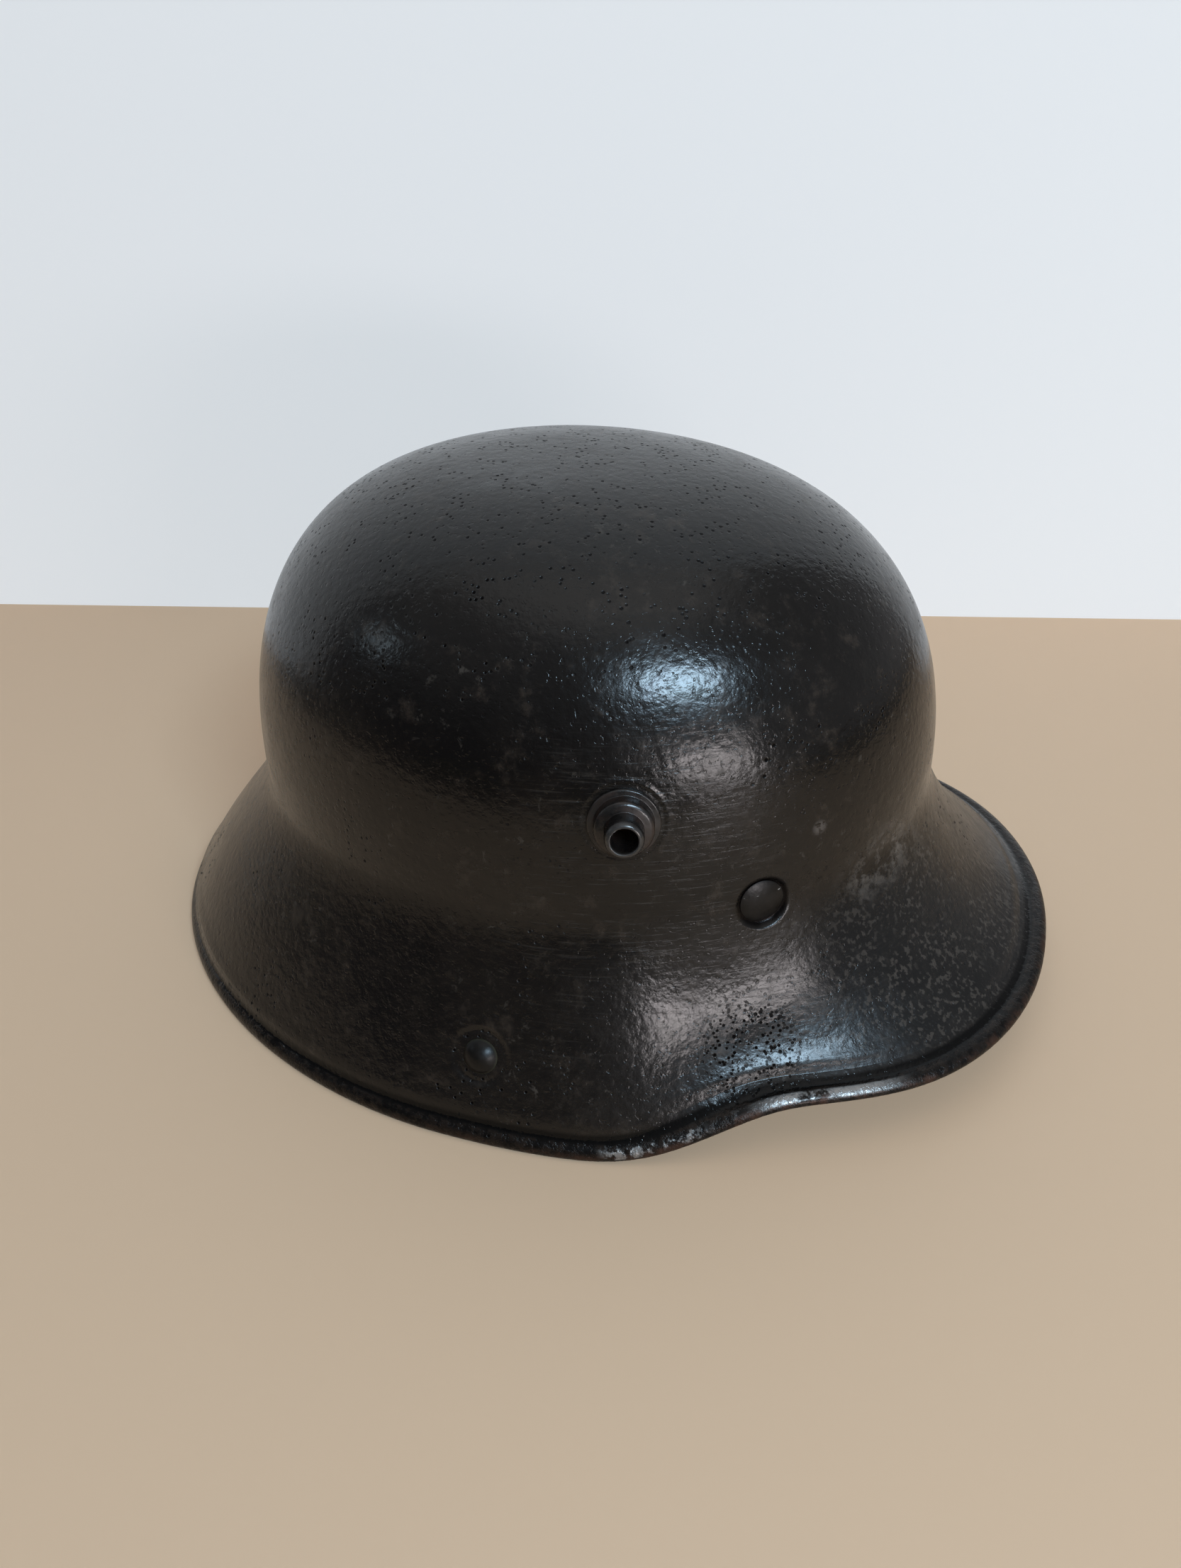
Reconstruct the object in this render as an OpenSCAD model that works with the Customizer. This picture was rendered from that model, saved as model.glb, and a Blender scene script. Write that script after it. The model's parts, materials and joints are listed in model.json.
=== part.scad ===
// Combat helmet: a pressed-steel shell with visor, skirt and vent lugs,
// a leather liner on three split pins, and a hooked chin strap.
// Millimetres. +X points to the visor, +Y to the wearer's left, +Z up.
// The origin lies on the table, under the middle of the shell.

/* [Shell outline] */
// Length over the visor and the neck guard
rim_length = 310; // [302:1:318]
// Width over the skirt
rim_width = 246; // [240:1:252]
// Height of the crown above the table
shell_height = 163; // [157:1:169]
// Length of the dome where its wall stands upright
dome_length = 224; // [219:1:229]
// Width of the dome where its wall stands upright
dome_width = 192; // [188:1:197]
// Thickness of the pressed steel
steel = 1.2; // [1:0.1:1.5]

/* [Shell profile] */
// Height at which the wall stands upright over the brow
brow_z = 69.5; // [66:0.5:73]
// Height at which the wall stands upright at the temples
temple_z = 66.5; // [63:0.5:70]
// Height at which the wall stands upright at the nape
nape_z = 61; // [57:0.5:64]
// How far the visor's edge lifts above the table
visor_lift = 15.5; // [12:0.5:20]
// Slope of the visor at its edge, degrees below level
visor_slope = 18; // [12:1:26]
// Slope of the skirt at its edge, degrees below level
skirt_slope = 64; // [58:1:68]
// Where the visor turns into the skirt, degrees round from the front
visor_end = 64; // [60:0.5:68]
// Width of that turn, degrees to each side
visor_blend = 14.5; // [12:0.5:17]
// Width of the hem rolled along the edge
hem = 6.5; // [5.5:0.5:7.5]
// Thickness of the rolled edge
lip = 3.1; // [2.8:0.1:3.6]

/* [Vent lugs] */
// Where the vent lugs stand, degrees round from the front
vent_at = 68.5; // [64:0.5:74]
// Height of the vent lugs on the dome
vent_z = 97; // [95:0.5:102]
// Length of a vent lug outside the shell
vent_length = 11.8; // [10:0.1:14]
// Radius of its flange
vent_flange_r = 9.8; // [9:0.1:10.5]
// Radius of its wide step
vent_step_r = 8; // [7.2:0.1:8.6]
// Radius of its neck
vent_neck_r = 5.2; // [4.8:0.1:5.8]
// Radius of the hole through it
vent_bore_r = 3.55; // [3:0.05:3.8]

/* [Liner pins] */
// Where the front liner pins sit, degrees round from the front
pin_at = 48; // [46:0.5:50]
// Height of the liner pins
pin_z = 66.7; // [65:0.1:68]
// Radius of a pin's head
pin_head_r = 6.6; // [6:0.1:7]
// Radius of a pin's shank
pin_shank_r = 2; // [1.7:0.1:2.3]
// Depth to which a pin's head is sunk in the shell
pin_sink = 0.8; // [0.5:0.1:1]

/* [Liner] */
// Gap between shell and liner band
band_gap = 3; // [2.6:0.1:3.6]
// Thickness of the band's leather
band_t = 2.2; // [1.8:0.1:2.8]
// Height of the band's lower edge
band_low = 52; // [49:0.5:53]
// Height of the band's upper edge
band_high = 86; // [82:0.5:87]
// Thickness of the pads' leather
pad_t = 1.6; // [1.2:0.1:2]
// Half the width of the front pad, degrees
front_pad_half = 41; // [39:0.5:41.5]
// Half the width of a rear pad, degrees
rear_pad_half = 50; // [48:0.5:51]
// Middle of the rear pads, degrees round from the front
rear_pad_at = 112; // [111:0.5:114]
// Height of the finger tips
tip_z = 138; // [134:0.5:140]
// Radius of the lace
lace_r = 1.3; // [1:0.1:1.5]

/* [Chin strap] */
// Where the strap's rivets sit, degrees round from the front
strap_at = 87.5; // [85:0.5:90]
// Height of the strap's rivets on the skirt
strap_z = 24.5; // [23:0.5:26]
// Radius of a rivet's domed head
rivet_r = 5.3; // [4.8:0.1:5.8]
// Radius of a chin-strap lug's neck
lug_neck_r = 4.2; // [3.8:0.1:4.6]
// Length of a chin-strap lug's neck
lug_neck_l = 11; // [10.5:0.5:12.5]
// Width of the strap's leather
strap_w = 14; // [12:0.5:15]
// Thickness of the strap's leather
strap_t = 1.8; // [1.4:0.1:2]
// Room between the strap's bend and the rim at the nape
strap_room = 30.2; // [29:0.1:40]
// Travel of a buckle along the strap
buckle_travel = 10; // [6:1:11]

/* [Hidden] */
$fn = 48;

steel_color = "#2e2925";
bright_steel = "#4a4540";
leather_color = "#6b4226";
cloth_color = "#9a8f78";
lace_color = "#b5a888";

// Dome shape, from fits to the outline in the photograph
dome_mid = -1;
crown_x = -10;
rim_mid = -6.5;
dome_round = 2.8;
crown_round = 2.5;
rim_square_front = 2.2;
rim_square_rear = 1.94;
flare_start = 0.15;
flare_end = 0.42;
visor_nip = 0.043;
nip_at = 54;
nip_width = 14;

// Clearances, and how far a cut runs past what it cuts
play = 0.05;
soft_gap = 0.3;
past = 1;
seat_reach = 6;

// Where the rear liner pin sits, degrees round from the front
rear_at = 180;

// Plain maths
function limit(v, low, high) = min(max(v, low), high);
function ease(v) = let(k = limit(v, 0, 1)) k * k * k * (k * (6 * k - 15) + 10);
function power(v, n) = sign(v) * pow(abs(v), 2 / n);
function unit(v) = v / norm(v);
function turn(t) = abs((t + 540) % 360 - 180);
function mix(a, b, k) = a + (b - a) * k;

// Share of visor, 1 at the front and 0 behind it, and share of nape
function visor_share(t) = ease((visor_end + visor_blend - turn(t)) / (2 * visor_blend));
function nape_share(t) = ease((turn(t) - 90) / 90);

// The waist, where the wall stands upright, at t degrees round from the front
function waist_z(t) =
    temple_z + (brow_z - temple_z) * pow(max(cos(t), 0), 2) + (nape_z - temple_z) * nape_share(t);
function waist(t) = [dome_mid + dome_length / 2 * cos(t), dome_width / 2 * sin(t), waist_z(t)];

// The rim's outline seen from above
function nip(t) = 1 - visor_nip * exp(-pow((turn(t) - nip_at) / nip_width, 2));
function outline(t) =
    let(front = cos(t) > 0, n = front ? rim_square_front : rim_square_rear)
    let(half = rim_length / 2 - (front ? rim_mid : -rim_mid))
    [rim_mid + half * power(cos(t), n) * nip(t), rim_width / 2 * power(sin(t), n) * nip(t)];

function slope(t) = mix(skirt_slope, visor_slope, visor_share(t));

// Rolled edge: [distance in from the edge, height over the outer skin]
groove = 0.7;
fade = 3.5;
roll = 1.4;
crest = 0.25;
LIP = [
    [hem + fade, 0], [hem + fade * 0.43, -groove / 2], [hem, -groove], [hem - roll, -groove * 0.57],
    [hem - 2 * roll, crest], [lip * 0.58, crest * 0.8], [lip * 0.16, -lip * 0.145], [0, -lip / 2],
    [lip * 0.13, -lip * 0.75], [lip * 0.48, -lip * 0.97], [lip * 1.03, -lip], [hem - roll, -lip],
    [hem - roll * 0.36, -lip * 0.8], [hem + roll * 0.14, -steel - groove],
    [hem + fade * 0.43, -steel - groove * 0.64], [hem + fade, -steel]
];

// The flare from waist to rim runs in an upright plane, from [0, waist] to [run, rim]
function lip_drop(a) = -min([for (p = LIP) p[0] * sin(a) + p[1] * cos(a)]);
function lip_reach(a) = max([for (p = LIP) -p[0] * cos(a) + p[1] * sin(a)]);
function flare_way(t) = unit(outline(t) - [waist(t)[0], waist(t)[1]]);
function flare_run(t) = norm(outline(t) - [waist(t)[0], waist(t)[1]]) - lip_reach(slope(t));
function rim_height(t) = visor_lift * visor_share(t) + lip_drop(slope(t));

function bezier(a, b, c, d, q) =
    pow(1 - q, 3) * a + 3 * pow(1 - q, 2) * q * b + 3 * (1 - q) * q * q * c + pow(q, 3) * d;
function flare(t, q) =
    let(run = flare_run(t), top = waist_z(t), low = rim_height(t), a = slope(t))
    let(pull = flare_end * norm([run, top - low]))
    let(r = bezier(0, 0, run - pull * cos(a), run, q))
    let(z = bezier(top, mix(top, low, flare_start), low + pull * sin(a), low, q))
    let(w = waist(t), way = flare_way(t))
    [w[0] + way[0] * r, w[1] + way[1] * r, z];
function dome(t, k) =
    let(w = waist(t), f = pow(sin(90 * k), 2 / dome_round), g = pow(cos(90 * k), 2 / crown_round))
    [mix(crown_x, w[0], f), w[1] * f, mix(w[2], shell_height, g)];

// The whole outer skin: v runs 0 at the crown, 1 at the waist, 2 at the rim
function skin(t, v) = v < 1 ? dome(t, v) : flare(t, v - 1);
STEP = 0.01;
function normal(t, v) =
    let(low = min(v, 2 - STEP), round = skin(t + 1, v) - skin(t - 1, v))
    v < STEP ? [0, 0, 1] : unit(cross(round, skin(t, low - STEP) - skin(t, low + STEP)));
function inside(t, v) = skin(t, v) - steel * normal(t, v);

// The v at which the skin passes height z
function level(t, z, low = 0, high = 2, tries = 24) =
    let(v = (low + high) / 2)
    tries == 0 ? v : skin(t, v)[2] > z ? level(t, z, v, high, tries - 1) : level(t, z, low, v, tries - 1);

// A point of the rolled edge
function edge_point(t, p) =
    let(a = slope(t), way = flare_way(t), r = flare_run(t) - p[0] * cos(a) + p[1] * sin(a))
    let(w = waist(t))
    [w[0] + way[0] * r, w[1] + way[1] * r, rim_height(t) + p[0] * sin(a) + p[1] * cos(a)];

// Share of the flare that ends where the rolled edge begins
function edge_share(t) =
    1 - (hem + fade) / (3 * flare_end * norm([flare_run(t), waist_z(t) - rim_height(t)]));

// Moves children to the outer skin at t and z, with +Z along the outward normal
module on_skin(t, z) {
    v = level(t, z);
    n = normal(t, v);
    translate(skin(t, v)) rotate([0, acos(n[2]), atan2(n[1], n[0])]) children();
}

// A closed skin from a pole, rings of points and a second pole
module balloon(top, rings, end) {
    cols = len(rings[0]);
    rows = len(rings);
    points = concat([top], [for (r = rings) each r], [end]);
    last = len(points) - 1;
    faces = concat(
        [for (j = [0 : cols - 1]) [0, 1 + (j + 1) % cols, 1 + j]],
        [for (i = [0 : rows - 2], j = [0 : cols - 1])
            let(a = 1 + i * cols + j, b = 1 + i * cols + (j + 1) % cols)
            each [[a, b, b + cols], [a, b + cols, a + cols]]],
        [for (j = [0 : cols - 1])
            [last, 1 + (rows - 1) * cols + j, 1 + (rows - 1) * cols + (j + 1) % cols]]
    );
    polyhedron(points, faces);
}

// A closed loop of sections, each a list of points
module hoop(sections) {
    cols = len(sections[0]);
    rows = len(sections);
    faces = [for (i = [0 : rows - 1], j = [0 : cols - 1])
        let(a = i * cols + j, b = i * cols + (j + 1) % cols)
        let(c = ((i + 1) % rows) * cols + (j + 1) % cols, d = ((i + 1) % rows) * cols + j)
        each [[a, b, c], [a, c, d]]];
    polyhedron([for (s = sections) each s], faces);
}

// A sheet between two grids of points
module panel(front, back) {
    rows = len(front);
    cols = len(front[0]);
    n = rows * cols;
    points = concat([for (r = front) each r], [for (r = back) each r]);
    faces = concat(
        [for (i = [0 : rows - 2], j = [0 : cols - 2]) let(a = i * cols + j)
            each [[a, a + 1, a + 1 + cols], [a, a + 1 + cols, a + cols]]],
        [for (i = [0 : rows - 2], j = [0 : cols - 2]) let(a = n + i * cols + j)
            each [[a, a + 1 + cols, a + 1], [a, a + cols, a + 1 + cols]]],
        [for (j = [0 : cols - 2]) let(a = j) each [[a, a + n, a + n + 1], [a, a + n + 1, a + 1]]],
        [for (j = [0 : cols - 2]) let(a = (rows - 1) * cols + j)
            each [[a, a + 1, a + n + 1], [a, a + n + 1, a + n]]],
        [for (i = [0 : rows - 2]) let(a = i * cols)
            each [[a, a + cols, a + cols + n], [a, a + cols + n, a + n]]],
        [for (i = [0 : rows - 2]) let(a = i * cols + cols - 1)
            each [[a, a + n, a + cols + n], [a, a + cols + n, a + cols]]]
    );
    polyhedron(points, faces);
}

// A low domed head, flat side down
module domed_head(r, h) {
    ball = (r * r + h * h) / (2 * h);
    rotate_extrude()
        intersection() {
            translate([0, h - ball]) circle(ball, $fn = 96);
            square([r, h]);
        }
}

// Shell
AROUND = 72;
DOME_ROWS = 15;
FLARE_ROWS = 9;
seat_wall = 1.4;
vent_sink = 0.35;
vent_shank_r = 6;
vent_seat_r = vent_flange_r + seat_wall;
rivet_sink = 0.3;
rivet_shank_r = 2.4;
lug_base_r = 8;
pin_seat_r = pin_head_r + 0.4;

function around() = [for (i = [0 : AROUND - 1]) i * 360 / AROUND];

module steel_skin() {
    dome_v = [for (i = [1 : DOME_ROWS]) i / DOME_ROWS];
    flare_q = [for (i = [1 : FLARE_ROWS]) i / FLARE_ROWS];
    outer = concat(
        [for (v = dome_v) [for (t = around()) skin(t, v)]],
        [for (q = flare_q) [for (t = around()) skin(t, 1 + q * edge_share(t))]]
    );
    edge = [for (p = LIP) [for (t = around()) edge_point(t, p)]];
    inner = concat(
        [for (i = [FLARE_ROWS - 1 : -1 : 1])
            [for (t = around()) inside(t, 1 + flare_q[i - 1] * edge_share(t))]],
        [for (i = [DOME_ROWS : -1 : 1]) [for (t = around()) inside(t, dome_v[i - 1])]]
    );
    balloon([crown_x, 0, shell_height], concat(outer, edge, inner), [crown_x, 0, shell_height - steel]);
}

// A flat pressed into the steel: a disc at the given depth
module seat_disc(r, sink) { translate([0, 0, -sink - steel]) cylinder(r = r + steel, h = steel); }
module seat_cut(r, sink, hole) {
    translate([0, 0, -sink]) cylinder(r = r, h = seat_reach);
    translate([0, 0, -sink - steel - seat_reach]) cylinder(r = r, h = seat_reach);
    translate([0, 0, -sink - steel - seat_reach]) cylinder(r = hole, h = 2 * seat_reach);
}

module shell() {
    color(steel_color)
    difference() {
        union() {
            steel_skin();
            for (side = [-1, 1]) {
                on_skin(side * vent_at, vent_z) seat_disc(vent_seat_r, vent_sink);
                on_skin(side * strap_at, strap_z) seat_disc(lug_base_r, rivet_sink);
                on_skin(side * pin_at, pin_z) seat_disc(pin_seat_r, pin_sink);
            }
            on_skin(rear_at, pin_z) seat_disc(pin_seat_r, pin_sink);
        }
        for (side = [-1, 1]) {
            on_skin(side * vent_at, vent_z) seat_cut(vent_seat_r, vent_sink, vent_shank_r + play);
            on_skin(side * strap_at, strap_z) seat_cut(lug_base_r, rivet_sink, rivet_shank_r + play);
            on_skin(side * pin_at, pin_z) seat_cut(pin_seat_r, pin_sink, pin_shank_r + play);
        }
        on_skin(rear_at, pin_z) seat_cut(pin_seat_r, pin_sink, pin_shank_r + play);
    }
}

// Vent lugs: stepped, hollow, with the shank spun over inside the shell
vent_flange_t = 1.3;
vent_step_l = 5.5;
vent_spun_r = 8;
vent_spun_t = 1;
vent_round = 1.2;
vent_throat_r = vent_bore_r - 0.35;
vent_throat_top = 0.8;

module vent_lug(side) {
    through = steel + vent_spun_t + 1;
    color(bright_steel)
    on_skin(side * vent_at, vent_z)
    translate([0, 0, -vent_sink])
    difference() {
        rotate_extrude()
            union() {
                translate([0, -steel - vent_spun_t]) square([vent_spun_r, vent_spun_t]);
                translate([0, -steel]) square([vent_shank_r, steel]);
                square([vent_flange_r, vent_flange_t]);
                square([vent_step_r - vent_round, vent_step_l]);
                square([vent_step_r, vent_step_l - vent_round]);
                translate([vent_step_r - vent_round, vent_step_l - vent_round]) circle(vent_round);
                square([vent_neck_r, vent_length - vent_round]);
                square([vent_neck_r - vent_round, vent_length]);
                translate([vent_neck_r - vent_round, vent_length - vent_round]) circle(vent_round);
            }
        translate([0, 0, -through]) cylinder(r = vent_throat_r, h = through + vent_throat_top + 1);
        translate([0, 0, vent_throat_top]) cylinder(r = vent_bore_r, h = vent_length);
    }
}
module vent_lug_right() { vent_lug(-1); }
module vent_lug_left() { vent_lug(1); }

// Chin-strap rivets, through the skirt into the lugs
rivet_h = 2.7;
lug_base_t = 1.6;
rivet_grip = 1.3;
lug_socket = lug_base_t + rivet_grip;

module chin_rivet(side) {
    color(bright_steel)
    on_skin(side * strap_at, strap_z)
    translate([0, 0, -rivet_sink]) {
        domed_head(rivet_r, rivet_h);
        translate([0, 0, -steel - lug_socket + play]) cylinder(r = rivet_shank_r, h = steel + lug_socket);
    }
}
module chin_rivet_right() { chin_rivet(-1); }
module chin_rivet_left() { chin_rivet(1); }

// The strap's hinge axis runs across the helmet through both lug bases
strap_v = level(strap_at, strap_z);
strap_n = normal(strap_at, strap_v);
lug_foot = skin(strap_at, strap_v) - (rivet_sink + steel + lug_base_t) * strap_n;
hinge_x = lug_foot[0];
hinge_z = lug_foot[2];
lug_head_l = 15;
lug_head_w = 9;
lug_head_t = 2.6;
hook_t = 2;
hook_y = lug_foot[1] - lug_neck_l + soft_gap + hook_t / 2;

module chin_lug(side) {
    color(bright_steel)
    difference() {
        union() {
            on_skin(side * strap_at, strap_z)
                translate([0, 0, -rivet_sink - steel - lug_base_t]) cylinder(r = lug_base_r, h = lug_base_t);
            translate([hinge_x, side * (lug_foot[1] + lug_neck_r), hinge_z])
                rotate([side * 90, 0, 0])
                    cylinder(r = lug_neck_r, h = lug_neck_r + lug_neck_l + lug_head_t / 2);
            translate([hinge_x, side * (lug_foot[1] - lug_neck_l), hinge_z])
                rotate([side * 90, 0, 0]) lug_head();
        }
        on_skin(side * strap_at, strap_z)
            translate([0, 0, -rivet_sink - steel - lug_socket])
                cylinder(r = rivet_shank_r + play, h = lug_socket + past);
        on_skin(side * strap_at, strap_z)
            translate([0, 0, -rivet_sink - steel]) cylinder(r = 2 * lug_base_r, h = lug_base_r);
    }
}
module lug_head() {
    cube_l = lug_head_l - lug_head_w;
    translate([-lug_head_w / 2, -cube_l / 2, 0]) cube([lug_head_w, cube_l, lug_head_t]);
    for (end = [-1, 1])
        translate([0, end * cube_l / 2, 0]) cylinder(r = lug_head_w / 2, h = lug_head_t);
}
module chin_lug_right() { chin_lug(-1); }
module chin_lug_left() { chin_lug(1); }

// Liner pins: a domed head, a shank through shell, spacer, band and washer, and two spread legs
pin_head_h = 1.3;
washer_r = 5.6;
washer_t = 1;
leg_t = 1.2;
leg_w = 3.2;
leg_l = 6.4;
band_seat = 0.25;
band_out = steel + band_gap + band_seat;
band_in = steel + band_gap + band_t - band_seat;
pin_grip = band_in + washer_t;

module liner_pin(t) {
    color(bright_steel)
    on_skin(t, pin_z) {
        translate([0, 0, -pin_sink]) domed_head(pin_head_r, pin_head_h);
        translate([0, 0, -pin_grip - leg_t]) cylinder(r = pin_shank_r, h = pin_grip + leg_t - pin_sink + 0.2);
        translate([-leg_l, -leg_w / 2, -pin_grip - leg_t]) cube([2 * leg_l, leg_w, leg_t]);
    }
}
module liner_pin_front_right() { liner_pin(-pin_at); }
module liner_pin_front_left() { liner_pin(pin_at); }
module liner_pin_rear() { liner_pin(rear_at); }

module pin_ring(outer_r, low, high) {
    for (t = [-pin_at, pin_at, rear_at])
        on_skin(t, pin_z)
            translate([0, 0, -high])
                difference() {
                    cylinder(r = outer_r, h = high - low);
                    translate([0, 0, -past]) cylinder(r = pin_shank_r + play, h = high - low + 2 * past);
                }
}
module pin_spacers() { color(bright_steel) pin_ring(washer_r, pin_sink + steel, band_out); }
module pin_washers() { color(bright_steel) pin_ring(washer_r, band_in, band_in + washer_t); }

// Liner surfaces follow the waist at a distance in from the outer skin
function waist_out(t) = unit([cos(t) * dome_width, sin(t) * dome_length, 0]);
function inset(t, away, z) = let(w = waist(t), n = waist_out(t)) [w[0] - n[0] * away, w[1] - n[1] * away, z];

module liner_band() {
    near = steel + band_gap;
    far = near + band_t;
    color(leather_color)
    difference() {
        hoop([for (t = around()) [
            inset(t, near, band_low), inset(t, near, band_high),
            inset(t, far, band_high), inset(t, far, band_low)
        ]]);
        for (t = [-pin_at, pin_at, rear_at])
            on_skin(t, pin_z) {
                translate([0, 0, -band_out]) cylinder(r = washer_r + play, h = band_out);
                translate([0, 0, -band_in - seat_reach]) cylinder(r = washer_r + play, h = seat_reach);
                translate([0, 0, -band_in - seat_reach]) cylinder(r = pin_shank_r + play, h = 2 * seat_reach);
            }
        for (t = rivet_places())
            at_band(t) translate([0, 0, -past]) cylinder(r = pad_rivet_r + play, h = band_t + 2 * past);
    }
}

// Pads: each has a foot on the band and two fingers that rise to the lace
pad_foot_low = 53;
pad_foot_high = 58.5;
pad_near = steel + band_gap + band_t;
pad_knee_in = 8;
pad_shoulder_in = 10;
pad_knee_z = 80;
pad_shoulder_z = 118;
tip_in = 64;
notch_at = 0.36;
tip_half = 6.5;
PAD_ROWS = 14;
PAD_COLS = 5;
pad_rivet_r = 1.2;
pad_rivet_head = 2.6;
pad_rivet_z = 56;
casing_bore = 2.3;
casing_r = casing_bore + pad_t * 0.8;
casing_l = 11;

// Distance in and height of the pads' outer face: foot for s below 0, then rising to 1
function pad_in(s) =
    s < 0 ? pad_near : bezier(pad_near, pad_near + pad_knee_in, pad_near + pad_shoulder_in, tip_in, s);
function pad_z(s) =
    s < 0 ? mix(pad_foot_high, pad_foot_low, -s)
        : bezier(pad_foot_high, pad_knee_z, pad_shoulder_z, tip_z, s);
function pad_tilt(s) =
    let(a = pad_in(s + 0.02) - pad_in(s), b = pad_z(s + 0.02) - pad_z(s)) s < 0 ? [1, 0] : unit([b, -a]);
function pad_point(t, s, depth) =
    let(tilt = pad_tilt(s)) inset(t, pad_in(s) + tilt[0] * depth, pad_z(s) + tilt[1] * depth);

function finger_half(s, base) =
    s < notch_at ? base : mix(base, tip_half, ease((s - notch_at) / (0.95 - notch_at)));
function pad_steps() = concat([-1], [for (i = [0 : PAD_ROWS - 1]) i / (PAD_ROWS - 1) * 0.985]);
function finger_point(mid, half, s, j, depth) =
    pad_point(mid + finger_half(s, half / 2) * (2 * j / PAD_COLS - 1), s, depth);
function pad_points(mid, half, depth) =
    [for (side = [-1, 1], s = pad_steps(), j = [0 : PAD_COLS])
        finger_point(mid + side * half / 2, half, s, j, depth)];

// One sheet with a slit: below the slit both fingers share their middle column
function slit_row() = max([for (i = [0 : PAD_ROWS]) pad_steps()[i] < notch_at ? i : 0]);
function pad_id(side, i, j) =
    side > 0 && j == 0 && i <= slit_row()
        ? pad_id(0, i, PAD_COLS)
        : (side * (PAD_ROWS + 1) + i) * (PAD_COLS + 1) + j;
module pad_sheet(mid, half) {
    n = 2 * (PAD_ROWS + 1) * (PAD_COLS + 1);
    function wall(a, b) = [[a, a + n, b + n], [a, b + n, b]];
    faces = concat(
        [for (f = [0, 1], i = [0 : PAD_ROWS - 1], j = [0 : PAD_COLS - 1])
            let(a = pad_id(f, i, j), b = pad_id(f, i, j + 1))
            let(c = pad_id(f, i + 1, j + 1), d = pad_id(f, i + 1, j))
            each [[a, b, c], [a, c, d], [n + a, n + c, n + b], [n + a, n + d, n + c]]],
        [for (f = [0, 1], j = [0 : PAD_COLS - 1]) each wall(pad_id(f, 0, j), pad_id(f, 0, j + 1))],
        [for (f = [0, 1], j = [0 : PAD_COLS - 1])
            each wall(pad_id(f, PAD_ROWS, j + 1), pad_id(f, PAD_ROWS, j))],
        [for (i = [0 : PAD_ROWS - 1]) each wall(pad_id(0, i + 1, 0), pad_id(0, i, 0))],
        [for (i = [0 : PAD_ROWS - 1]) each wall(pad_id(1, i, PAD_COLS), pad_id(1, i + 1, PAD_COLS))],
        [for (i = [slit_row() : PAD_ROWS - 1])
            each wall(pad_id(0, i, PAD_COLS), pad_id(0, i + 1, PAD_COLS))],
        [for (i = [slit_row() : PAD_ROWS - 1]) each wall(pad_id(1, i + 1, 0), pad_id(1, i, 0))]
    );
    polyhedron(concat(pad_points(mid, half, pad_t), pad_points(mid, half, 0)), faces);
}

// Moves children to a pad rivet's place; the 25 degrees keep round holes' seams off the pads' fold lines
module at_band(t) {
    n = waist_out(t);
    translate(inset(t, pad_near, pad_rivet_z))
        rotate([0, 90, atan2(n[1], n[0])]) rotate([0, 0, 25]) children();
}

// Where the lace runs: round the finger tips
lace_in = tip_in;
lace_z = tip_z;
function lace_point(t) = inset(t, lace_in, lace_z);

module casing_frame(t) {
    way = lace_point(t + 1) - lace_point(t - 1);
    translate(lace_point(t)) rotate([0, 90, atan2(way[1], way[0])]) children();
}

module pad(mid, half) {
    color(leather_color)
    difference() {
        union() {
            pad_sheet(mid, half);
            for (side = [-1, 1])
                casing_frame(mid + side * half / 2) cylinder(r = casing_r, h = casing_l, center = true);
        }
        for (side = [-1, 1])
            casing_frame(mid + side * half / 2)
                cylinder(r = casing_bore, h = casing_l + 2 * past, center = true);
        for (t = pad_rivet_turns(mid, half)) {
            at_band(t) translate([0, 0, -seat_reach]) cylinder(r = pad_rivet_r + play, h = 2 * seat_reach);
            at_band(t) translate([0, 0, -seat_reach])
                cylinder(r = pad_rivet_head + 2 * play, h = seat_reach - pad_t);
        }
    }
}
module pad_front() { pad(0, front_pad_half); }
module pad_rear_right() { pad(-rear_pad_at, rear_pad_half); }
module pad_rear_left() { pad(rear_pad_at, rear_pad_half); }

// Cushions: flat pillows between pads and band
cushion_low = 64;
cushion_high = 99;
cushion_margin = 7;
CUSHION_ROWS = 8;
CUSHION_COLS = 12;

function pad_level(z, low = 0, high = 1, tries = 20) =
    let(s = (low + high) / 2)
    tries == 0 ? s : pad_z(s) < z ? pad_level(z, s, high, tries - 1) : pad_level(z, low, s, tries - 1);
function bulge(v) = pow(max(1 - pow(abs(v), 3), 0), 0.6);
function cushion_face(mid, half, side) =
    [for (i = [0 : CUSHION_ROWS]) [for (j = [0 : CUSHION_COLS])
        let(u = 2 * j / CUSHION_COLS - 1, v = 2 * i / CUSHION_ROWS - 1)
        let(z = mix(cushion_low, cushion_high, i / CUSHION_ROWS))
        let(near = pad_near + soft_gap, far = pad_in(pad_level(z)) - soft_gap)
        let(t = mid + u * (half - cushion_margin))
        inset(t, (near + far) / 2 + side * max(0.5, (far - near) / 2 * bulge(u) * bulge(v)), z)]];

module cushion(mid, half) {
    color(cloth_color) panel(cushion_face(mid, half, 1), cushion_face(mid, half, -1));
}
module cushion_front() { cushion(0, front_pad_half); }
module cushion_rear_right() { cushion(-rear_pad_at, rear_pad_half); }
module cushion_rear_left() { cushion(rear_pad_at, rear_pad_half); }

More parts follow.
